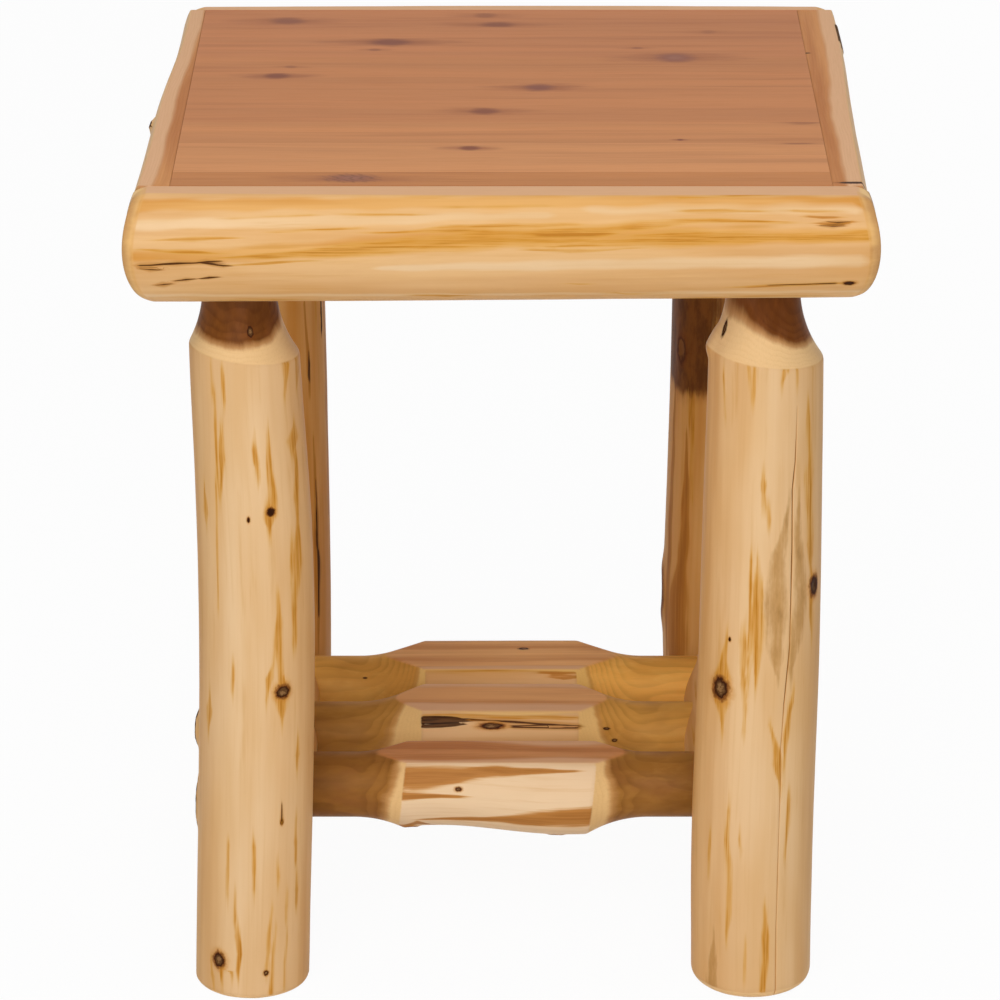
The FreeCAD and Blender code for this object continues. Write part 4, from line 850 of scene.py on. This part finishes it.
# a knot that lies across a joint is in both boards
BOARDS = {
    1: (paint(186, 121, 68), [(-101, -203, 20, 11, 0.9, 1.2)]),
    2: (paint(199, 135, 84), [(-22, -132, 8, 6, 1.1, 0.0), (206, -120, 12, 5, 0.6, 0.0)]),
    3: (paint(193, 128, 78), [(124, -113, 2.4, 2.4, 1.2, 0.0), (212, -69, 14, 7, 0.5, 0.0)]),
    4: (paint(188, 122, 74), [(-12, -41, 12, 10, 1.0, 0.1), (27, 19, 12, 11, 1.15, 0.7)]),
    5: (paint(187, 121, 73), [(-162, 49, 10, 8, 1.1, 0.1), (-153, 73, 5, 4, 0.5, 0.0),
                              (127, 98, 17, 14, 1.0, 0.9), (27, 19, 12, 11, 1.15, 0.7)]),
    6: (paint(187, 120, 74), [(-82, 140, 17, 11, 1.15, 0.3), (-93, 119, 5, 4, 0.6, 0.0),
                              (100, 124, 5, 3.5, 0.6, 0.0), (154, 168, 7, 6, 0.35, 0.2),
                              (127, 98, 17, 14, 1.0, 0.9), (-3, 189, 14, 9, 0.95, 0.2)]),
    7: (paint(184, 117, 72), [(-160, 199, 15, 11, 0.9, 0.5), (-3, 189, 14, 9, 0.95, 0.2),
                              (-12, 214, 9, 8, 0.6, 0.0)]),
}
for number, (tone, knots) in BOARDS.items():
    dress(f"top_board_{number}", cedar_board(number, tone, knots))


# Edge rails
# Half logs round the top, their inner side sawn flat against the boards and their upper side
# planed level with them. The front and rear ones run past the sides and have domed ends.

RAIL_DIAMETER, RAIL_FACET, RAIL_DOME, RAIL_EASE = 0.089, 0.0092, 0.078, 0.0012
LONG_RAIL_PLANED, SIDE_RAIL_PLANED, SIDE_RAIL_HALF = 0.035, 0.022, 0.22575
LONG_RAIL_COLUMNS, LONG_RAIL_RING_GAP, SIDE_RAIL_COLUMNS, SIDE_RAIL_RING_GAP = 190, 0.0013, 170, 0.0014
LONG_RAILS = {
    "front_rail": {
        "start": -0.254, "end": 0.254, "origin": (0.0, -0.2165, 0.5746), "sawn": -0.004, "side": 1.0,
        "core": (-0.022, -0.003, 0), "seed": 10.0, "wood": (0.0325, 0.3, 0.55), "wild": (12, -220, 220, 262, 300),
        "stations": [(-0.50, 0.985, 0.004, -0.030), (-0.25, 0.995, 0.001, -0.018), (0.00, 1.000, 0.000, -0.006),
            (0.25, 0.990, 0.003, 0.000), (0.50, 0.985, 0.006, 0.006)],
        "warm_bands": [[(-250, 104, 6.0), (0, 104, 6.0), (250, 103, 5.0)], [(-245, 178, 8.0), (-190, 176, 11.0),
            (-120, 167, 13.0), (-60, 157, 14.0), (-20, 150, 14.0), (60, 144, 13.0), (140, 146, 12.0),
            (245, 143, 8.0)]],
        "pale_bands": [[(-245, 128, 6.0), (-100, 124, 5.5), (30, 118, 3.0)], [(60, 112, 4.0), (150, 110, 5.0),
            (240, 110, 5.0)], [(-80, 200, 4.0), (0, 196, 8.0), (100, 192, 9.0), (240, 188, 11.0)], [(-250, 256, 3.0),
            (250, 256, 3.0)]],
        "flames": [[(-190, 181, 0.8), (-156, 177, 3.0), (-104, 168, 6.4), (-64, 158, 8.4), (-23, 150, 9.4),
            (22, 146, 9.4), (60, 141, 7.6), (84, 132, 4.6), (114, 126, 2.8), (150, 124, 2.0), (190, 126, 0.8)],
            [(35, 161, 1.0), (70, 155, 4.2), (100, 151, 7.4), (130, 148, 7.8), (160, 147, 5.0), (190, 146, 4.2),
            (220, 146, 5.2), (248, 144, 4.4)], [(20, 166, 0.8), (46, 168, 2.8), (66, 166, 2.0), (90, 163, 0.6)],
            [(-80, 140, 0.8), (-40, 136, 3.0), (10, 131, 2.8), (50, 129, 1.0)], [(124, 113, 0.3), (150, 112, 0.7),
            (172, 113, 0.3)], [(196, 112.6, 0.3), (210, 113.4, 0.8), (226, 113, 0.3)], [(-180, 120, 0.2),
            (-150, 118, 0.5), (-128, 117, 0.2)], [(-104, 116, 0.2), (-84, 116.4, 0.6), (-60, 117, 0.2)],
            [(-30, 109, 0.2), (5, 108, 0.6), (30, 108, 0.2)], [(120, 99, 0.2), (160, 96, 0.5), (200, 93, 0.2)],
            [(-150, 138, 0.2), (-120, 135, 0.7), (-96, 133, 0.2)], [(-57, 257, 0.8), (-37, 259, 1.8),
            (-24, 258, 0.8)], [(46, 232.5, 0.6), (52, 233.7, 1.3), (58, 233.8, 0.6)], [(77, 254.7, 0.6),
            (84, 257.6, 1.2), (92, 257.8, 0.6)], [(-183, 195, 0.8), (-152, 189.7, 1.8), (-128, 185.6, 0.8)],
            [(158, 243, 0.8), (180, 241, 2.6), (200, 239, 2.4), (226, 235, 1.6)], [(-230, 150, 0.8),
            (-205, 148, 2.6), (-180, 147, 1.0)], [(-240, 166, 0.8), (-215, 170, 3.2), (-190, 172, 1.0)]],
        "browns": [[(214, 127, 0.6), (221, 128.4, 1.8), (230, 127, 1.5), (236, 125, 0.5)], [(206, 119, 0.4),
            (216, 120.4, 1.2), (224, 120, 0.5)], [(166, 244, 0.5), (178, 242.6, 1.2), (188, 241.4, 0.5)]],
        "cracks": [[(-243, 196, 1.5), (-235, 195.2, 1.9), (-226, 192.8, 1.2), (-217, 191.2, 1.7), (-205, 190.2, 1.1),
            (-197, 188.4, 1.6), (-188, 187, 0.6)], [(-200, 191, 0.5), (-193, 193, 1.3), (-186, 195.6, 1.2),
            (-181, 196, 0.4)], [(-242, 202, 0.6), (-236, 203.4, 1.4), (-229, 204, 0.5)], [(-234, 234, 0.8),
            (-229, 233, 1.7), (-223, 231.4, 0.6)], [(-220, 225.6, 0.6), (-212, 223, 1.2), (-206, 221.6, 0.5)],
            [(-202, 221, 0.5), (-196, 219, 1.1), (-190, 217.6, 0.5)], [(219, 125, 0.4), (226, 125.8, 0.8),
            (234, 125, 0.4)], [(214, 129.8, 0.4), (222, 130.4, 0.8), (230, 130, 0.4)], [(180, 239.4, 0.4),
            (200, 238, 0.6), (226, 235.6, 0.9)]],
        "knots": [(236, 235, 4.4, 3.0, 1.7, 0.3)],
    },
    "rear_rail": {
        "start": -0.240, "end": 0.254, "origin": (0.0, 0.2165, 0.5746), "sawn": -0.0145, "side": -1.0,
        "core": (0.027, -0.003, 0), "seed": 11.0, "wood": (0.0325, 0.3, 0.45), "wild": (30, -215, 230, -90, 60),
        "stations": [(-0.50, 0.980, -0.020, 0.000), (-0.25, 0.990, -0.010, 0.000), (0.00, 1.000, 0.000, 0.000),
            (0.25, 0.995, -0.006, 0.000), (0.50, 0.980, -0.016, 0.000)],
        "flames": [[(-180, 20, 0.8), (-80, 14, 5.0), (60, 24, 4.0), (180, 20, 0.8)], [(-120, -30, 0.8),
            (0, -34, 3.4), (120, -28, 0.8)], [(20, 50, 0.8), (110, 52, 3.0), (200, 48, 0.8)]],
        "knots": [(-120, 10, 5.4, 4.6, 1.0, 0.8), (90, -20, 4.6, 4.0, 1.2, 0.6)],
    },
}
for name, rail in LONG_RAILS.items():
    make_log(name, rail, rail["start"], rail["end"], RAIL_DIAMETER, LONG_RAIL_COLUMNS, LONG_RAIL_RING_GAP, {
        "Planed Top": LONG_RAIL_PLANED, "Sawn Face": rail["sawn"], "Sawn Side": rail["side"], "Core": rail["core"],
        "Facet": RAIL_FACET, "Dome Radius": RAIL_DOME, "Edge Ease": RAIL_EASE,
        "Origin": rail["origin"], "Across": (0, 1, 0), "Up": (0, 0, 1), "Along": (1, 0, 0)})

SIDE_RAILS = {
    "left_rail": {
        "origin": (-0.1985, 0.00525, 0.5876), "sawn": -0.0245, "side": -1.0, "core": (0.034, 0.000, 0), "seed": 12.0,
        "wood": (0.0362, 0.24, 0.3), "wild": (26, -210, 210, -80, 40),
        "stations": [(-0.50, 1.00, 0.088, 0.00), (-0.25, 0.99, 0.064, 0.00), (0.00, 1.00, 0.043, 0.00),
            (0.25, 0.99, -0.008, 0.00), (0.50, 0.98, -0.018, 0.00)],
        "barks": [[(-59, 48, 0.8), (-54, 46, 7.0), (-49, 48, 0.8)]],
        "flames": [[(-190, 10, 1.0), (-90, 6, 3.6), (30, 12, 1.0)], [(0, -20, 0.8), (110, -24, 3.0),
            (200, -20, 0.8)]],
        "knots": [(80, 4, 5.0, 4.2, 1.0, 0.8), (-54, 46, 4.4, 10.0, 0, 1.7)],
    },
    "right_rail": {
        "origin": (0.2085, 0.00525, 0.5876), "sawn": -0.0145, "side": 1.0, "core": (-0.028, 0.000, 0), "seed": 13.0,
        "wood": (0.0350, 0.2, 0.3), "wild": (26, -210, 210, 140, 260),
        "stations": [(-0.50, 0.97, 0.024, 0.00), (-0.25, 0.99, 0.024, 0.00), (0.00, 1.00, 0.020, 0.03),
            (0.25, 1.00, -0.001, 0.06), (0.50, 0.98, -0.012, 0.05)],
        "barks": [[(126, 134, 0.8), (140, 130, 7.0), (160, 127, 10.0), (182, 128, 9.0), (196, 132, 1.0)]],
        "flames": [[(-170, 172, 1.0), (-60, 176, 3.6), (60, 170, 1.0)], [(20, 200, 0.8), (120, 204, 3.0),
            (190, 200, 0.8)]],
        "knots": [(-70, 180, 5.0, 4.4, 1.0, 0.8), (190, 186, 4.0, 3.4, 1.2, 0.5), (105, 60, 1.5, 5.0, 1.9, 0.0),
            (-219, 92, 2.4, 22.0, 1.7, 0.0)],
    },
}
for name, rail in SIDE_RAILS.items():
    make_log(name, rail, -SIDE_RAIL_HALF, SIDE_RAIL_HALF, RAIL_DIAMETER, SIDE_RAIL_COLUMNS, SIDE_RAIL_RING_GAP, {
        "Planed Top": SIDE_RAIL_PLANED, "Sawn Face": rail["sawn"], "Sawn Side": rail["side"], "Core": rail["core"],
        "Edge Ease": RAIL_EASE,
        "Origin": rail["origin"], "Across": (-1, 0, 0), "Up": (0, 0, 1), "Along": (0, 1, 0)})


# Dowels
# Plain hardwood rods glued into bores in the boards and the rails, and across the rails' corners.
# They are hidden once the top is together.

def dowel_wood():
    """Pale hardwood rod."""
    material, pen = bare_material("dowel_wood")
    fibre = pen.node("ShaderNodeTexCoord", output="Object").noise(700.0, 3.0, 0.6)
    wood = fibre.rise(0.35, 0.65).tint(paint(222, 190, 142), paint(200, 162, 110))
    cover(pen, {"Base Color": wood, "Roughness": 0.55 + (fibre - 0.5) * 0.2})
    return material


DOWEL_WOOD = dowel_wood()
for name in ("front_rail_dowels", "rear_rail_dowels", "left_rail_dowels", "right_rail_dowels", "corner_dowels"):
    dress(name, DOWEL_WOOD)


# Screws
# Zinc-plated countersunk screws with a cross recess. Seven through each batten draw the top
# boards down on it, and one through its side locks each leg tenon in its bore.

def screw_pattern(length):
    """One screw that is driven along Z, with its head at 0, a cross recess, thread ridges and a point."""
    head, rim_height, head_height, core, ridge = 0.00475, 0.0003, 0.00225, 0.0019, 0.0025
    pitch, point_length, depth = 0.002, 0.006, length * 0.3
    profile = [(head, 0.0), (head, rim_height), (ridge, head_height), (ridge, depth)]
    while depth < length - point_length:
        profile += [(core, depth + pitch * 0.5), (ridge, depth + pitch)]
        depth += pitch
    sides = 24
    circle = [(math.cos(2 * math.pi * k / sides), math.sin(2 * math.pi * k / sides)) for k in range(sides)]
    bm = bmesh.new()
    rings = [[bm.verts.new((radius * x, radius * y, z)) for x, y in circle] for radius, z in profile]
    for upper, lower in zip(rings, rings[1:]):
        for k in range(sides):
            bm.faces.new((upper[k], upper[k - 1], lower[k - 1], lower[k]))
    point = bm.verts.new((0, 0, length))
    for k in range(sides):
        bm.faces.new((rings[-1][k], rings[-1][k - 1], point))

    arm, half, taper, recess_depth = 0.0024, 0.0006, 0.62, 0.0017
    quarter = [(arm, -half), (arm, half), (half, half)]
    outline = quarter + [(-y, x) for x, y in quarter] + [(-x, -y) for x, y in quarter] + [(y, -x) for x, y in quarter]
    rim = [bm.verts.new((x, y, 0)) for x, y in outline]
    floor_of_recess = [bm.verts.new((x * taper, y * taper, recess_depth)) for x, y in outline]
    for k in range(len(rim)):
        bm.faces.new((rim[k], rim[k - 1], floor_of_recess[k - 1], floor_of_recess[k]))
    bm.faces.new(floor_of_recess)
    edges = [bm.edges.get((loop[k], loop[k - 1])) or bm.edges.new((loop[k], loop[k - 1]))
             for loop in (rings[0], rim) for k in range(len(loop))]
    bmesh.ops.triangle_fill(bm, use_beauty=True, edges=edges)
    bmesh.ops.recalc_face_normals(bm, faces=bm.faces)
    mesh = bpy.data.meshes.new("screw_pattern")
    bm.to_mesh(mesh)
    bm.free()
    pattern = bpy.data.objects.new("screw_pattern", mesh)
    bpy.context.scene.collection.objects.link(pattern)
    return pattern


def screw_tree():
    """Geometry Nodes that set a screw at each point, driven the way that the point says and turned at random."""
    tree = bpy.data.node_groups.new("screws", "GeometryNodeTree")
    for name, kind in (("Places", "NodeSocketGeometry"), ("Screw", "NodeSocketObject"),
                       ("Most Turn", "NodeSocketFloat"), ("Seed", "NodeSocketInt"),
                       ("Material", "NodeSocketMaterial")):
        tree.interface.new_socket(name, in_out="INPUT", socket_type=kind)
    tree.interface.new_socket("Screws", in_out="OUTPUT", socket_type="NodeSocketGeometry")
    sizes = {s.name: Wire(tree, s) for s in tree.nodes.new("NodeGroupInput").outputs if s.name}
    pen = Wire(tree)
    drive = pen.node("GeometryNodeInputNamedAttribute", {"data_type": "FLOAT_VECTOR"}, {"Name": "drive"})
    facing = pen.node("FunctionNodeAlignRotationToVector", {"axis": "Z"}, {"Vector": drive})
    turn = pen.node("FunctionNodeRandomValue", {"data_type": "FLOAT"},
                    {3: sizes["Most Turn"], "Seed": sizes["Seed"]}, output=1)
    spin = pen.node("FunctionNodeAxisAngleToRotation", None, {"Axis": (0, 0, 1), "Angle": turn})
    rotation = pen.node("FunctionNodeRotateRotation", {"rotation_space": "LOCAL"},
                        {"Rotation": facing, "Rotate By": spin})
    screw = pen.node("GeometryNodeObjectInfo", None, {"Object": sizes["Screw"]}, output="Geometry")
    driven = pen.node("GeometryNodeInstanceOnPoints", None, {
        "Points": sizes["Places"], "Instance": screw, "Rotation": rotation})
    driven = pen.node("GeometryNodeRealizeInstances", None, {"Geometry": driven})
    driven = pen.node("GeometryNodeSetMaterial", None, {"Geometry": driven, "Material": sizes["Material"]})
    end = tree.nodes.new("NodeGroupOutput")
    tree.links.new(driven.socket, end.inputs["Screws"])
    return tree


def zinc_steel():
    """Zinc-plated steel, a little blotched and scratched by the driver."""
    material, pen = bare_material("zinc_steel")
    place = pen.node("ShaderNodeTexCoord", output="Object")
    blotch = place.noise(600.0, 3.0, 0.6)
    scratch = place.noise(2600.0, 2.0, 0.6, stretch=(1, 0.1, 1))
    zinc = blotch.rise(0.35, 0.65).tint(paint(198, 196, 184), paint(166, 160, 140))
    normal = pen.node("ShaderNodeBump", None, {"Strength": 0.15, "Distance": 0.0002, "Height": scratch})
    cover(pen, {
        "Base Color": zinc, "Metallic": 1.0, "Normal": normal,
        "Roughness": 0.34 + (blotch - 0.5) * 0.3 + (scratch - 0.5) * 0.15})
    return material


SCREW_TREE, ZINC_STEEL = screw_tree(), zinc_steel()
BATTEN_MIDDLE, BATTEN_UNDERSIDE, LEG_SCREW_HEAD, LEG_SCREW_HEIGHT = 0.148, 0.5496, 0.137, 0.5686
LEG_ROWS, MOST_SCREW_TURN = (-0.176, 0.176), 1.5
BOARD_MIDDLES = (-0.20475, -0.1545, -0.0945, -0.0245, 0.060, 0.143, 0.2085)
SCREWS = {
    "batten_screws": {"length": 0.052, "seed": 3, "places": [
        ((side * BATTEN_MIDDLE, y, BATTEN_UNDERSIDE), (0, 0, 1)) for side in (-1, 1) for y in BOARD_MIDDLES]},
    "leg_screws": {"length": 0.0316, "seed": 4, "places": [
        ((side * LEG_SCREW_HEAD, y, LEG_SCREW_HEIGHT), (side, 0, 0)) for side in (-1, 1) for y in LEG_ROWS]},
}
for name, group in SCREWS.items():
    pattern = screw_pattern(group["length"])
    places = bpy.data.meshes.new(name + "_set")
    places.from_pydata([place for place, _ in group["places"]], [], [])
    store(places, "drive", np.array([drive for _, drive in group["places"]], float))
    piece = bpy.data.objects.new(name + "_set", places)
    bpy.context.scene.collection.objects.link(piece)
    run_tree(piece, SCREW_TREE, {
        "Screw": pattern, "Most Turn": MOST_SCREW_TURN, "Seed": group["seed"], "Material": ZINC_STEEL})
    bpy.data.objects.remove(pattern)
    fit(piece, name)


# Floor, light and camera
# A pale floor that keeps the table's shadow, four soft studio lights, and a camera that looks
# down a little on the front of the table.

def seen_straight(pen):
    """1 for what the camera, a reflection or a clear piece sees, and 0 for light that falls on the table."""
    rays = pen.node("ShaderNodeLightPath").socket.node
    camera_ray, *others = (Wire(pen.tree, rays.outputs[f"Is {kind} Ray"])
                           for kind in ("Camera", "Glossy", "Transmission"))
    return pen.math("MINIMUM", sum(others, camera_ray), 1.0)


floor_mesh = bpy.data.meshes.new("floor")
floor_half = 12.0
floor_mesh.from_pydata([(-floor_half, -floor_half, 0), (floor_half, -floor_half, 0), (floor_half, floor_half, 0),
                        (-floor_half, floor_half, 0)], [], [(0, 1, 2, 3)])
floor = bpy.data.objects.new("floor", floor_mesh)
bpy.context.scene.collection.objects.link(floor)
floor_paint, pen = bare_material("floor_paint")
floor_surface = pen.node("ShaderNodeBsdfPrincipled", None, {
    "Base Color": (0.9, 0.9, 0.9, 1.0), "Roughness": 0.9, "Specular IOR Level": 0.0})
floor_white = pen.node("ShaderNodeEmission", None, {"Color": (1, 1, 1, 1), "Strength": 1.0})
shadow_share = 0.045
floor_mix = pen.node("ShaderNodeMixShader", None, {
    0: seen_straight(pen) * (1 - shadow_share), 1: floor_surface, 2: floor_white})
pen.node("ShaderNodeOutputMaterial", None, {"Surface": floor_mix})
floor_mesh.materials.append(floor_paint)

world = bpy.data.worlds.new("studio")
bpy.context.scene.world = world
world.use_nodes = True
world.node_tree.nodes.clear()
pen = Wire(world.node_tree)
ambient = 0.26
white = pen.node("ShaderNodeBackground", None, {
    "Color": (1, 1, 1, 1), "Strength": ambient + seen_straight(pen) * (1 - ambient)})
pen.node("ShaderNodeOutputWorld", None, {"Surface": white})


def soft_light(name, place, target, size, power, in_gloss=True):
    lamp = bpy.data.lights.new(name, "AREA")
    lamp.shape, lamp.size, lamp.energy = "DISK", size, power
    light = bpy.data.objects.new(name, lamp)
    bpy.context.scene.collection.objects.link(light)
    light.location = place
    away = Vector(place) - Vector(target)
    light.rotation_euler = away.to_track_quat("Z", "Y").to_euler()
    light.visible_camera, light.visible_glossy = False, in_gloss


soft_light("front_light", (-0.45, -3.4, 2.4), (0, 0, 0.3), 3.6, 91)
soft_light("low_light", (0.3, -3.2, 0.5), (0, 0, 0.2), 2.4, 9, in_gloss=False)
soft_light("top_light", (0.0, -0.5, 3.2), (0, 0, 0.3), 2.0, 22)
soft_light("rear_light", (1.2, 3.0, 1.6), (0, 0, 0.3), 3.0, 18, in_gloss=False)

camera = bpy.data.objects.new("camera", bpy.data.cameras.new("camera"))
bpy.context.scene.collection.objects.link(camera)
camera.location = (-0.0009, -3.5435, 1.6294)
camera.rotation_euler = (math.radians(69.45), 0, 0)
camera.data.sensor_width, camera.data.lens = 36.0, 185.6
camera.data.clip_end = 60.0
bpy.context.scene.camera = camera
bpy.context.scene.view_settings.view_transform = "Standard"
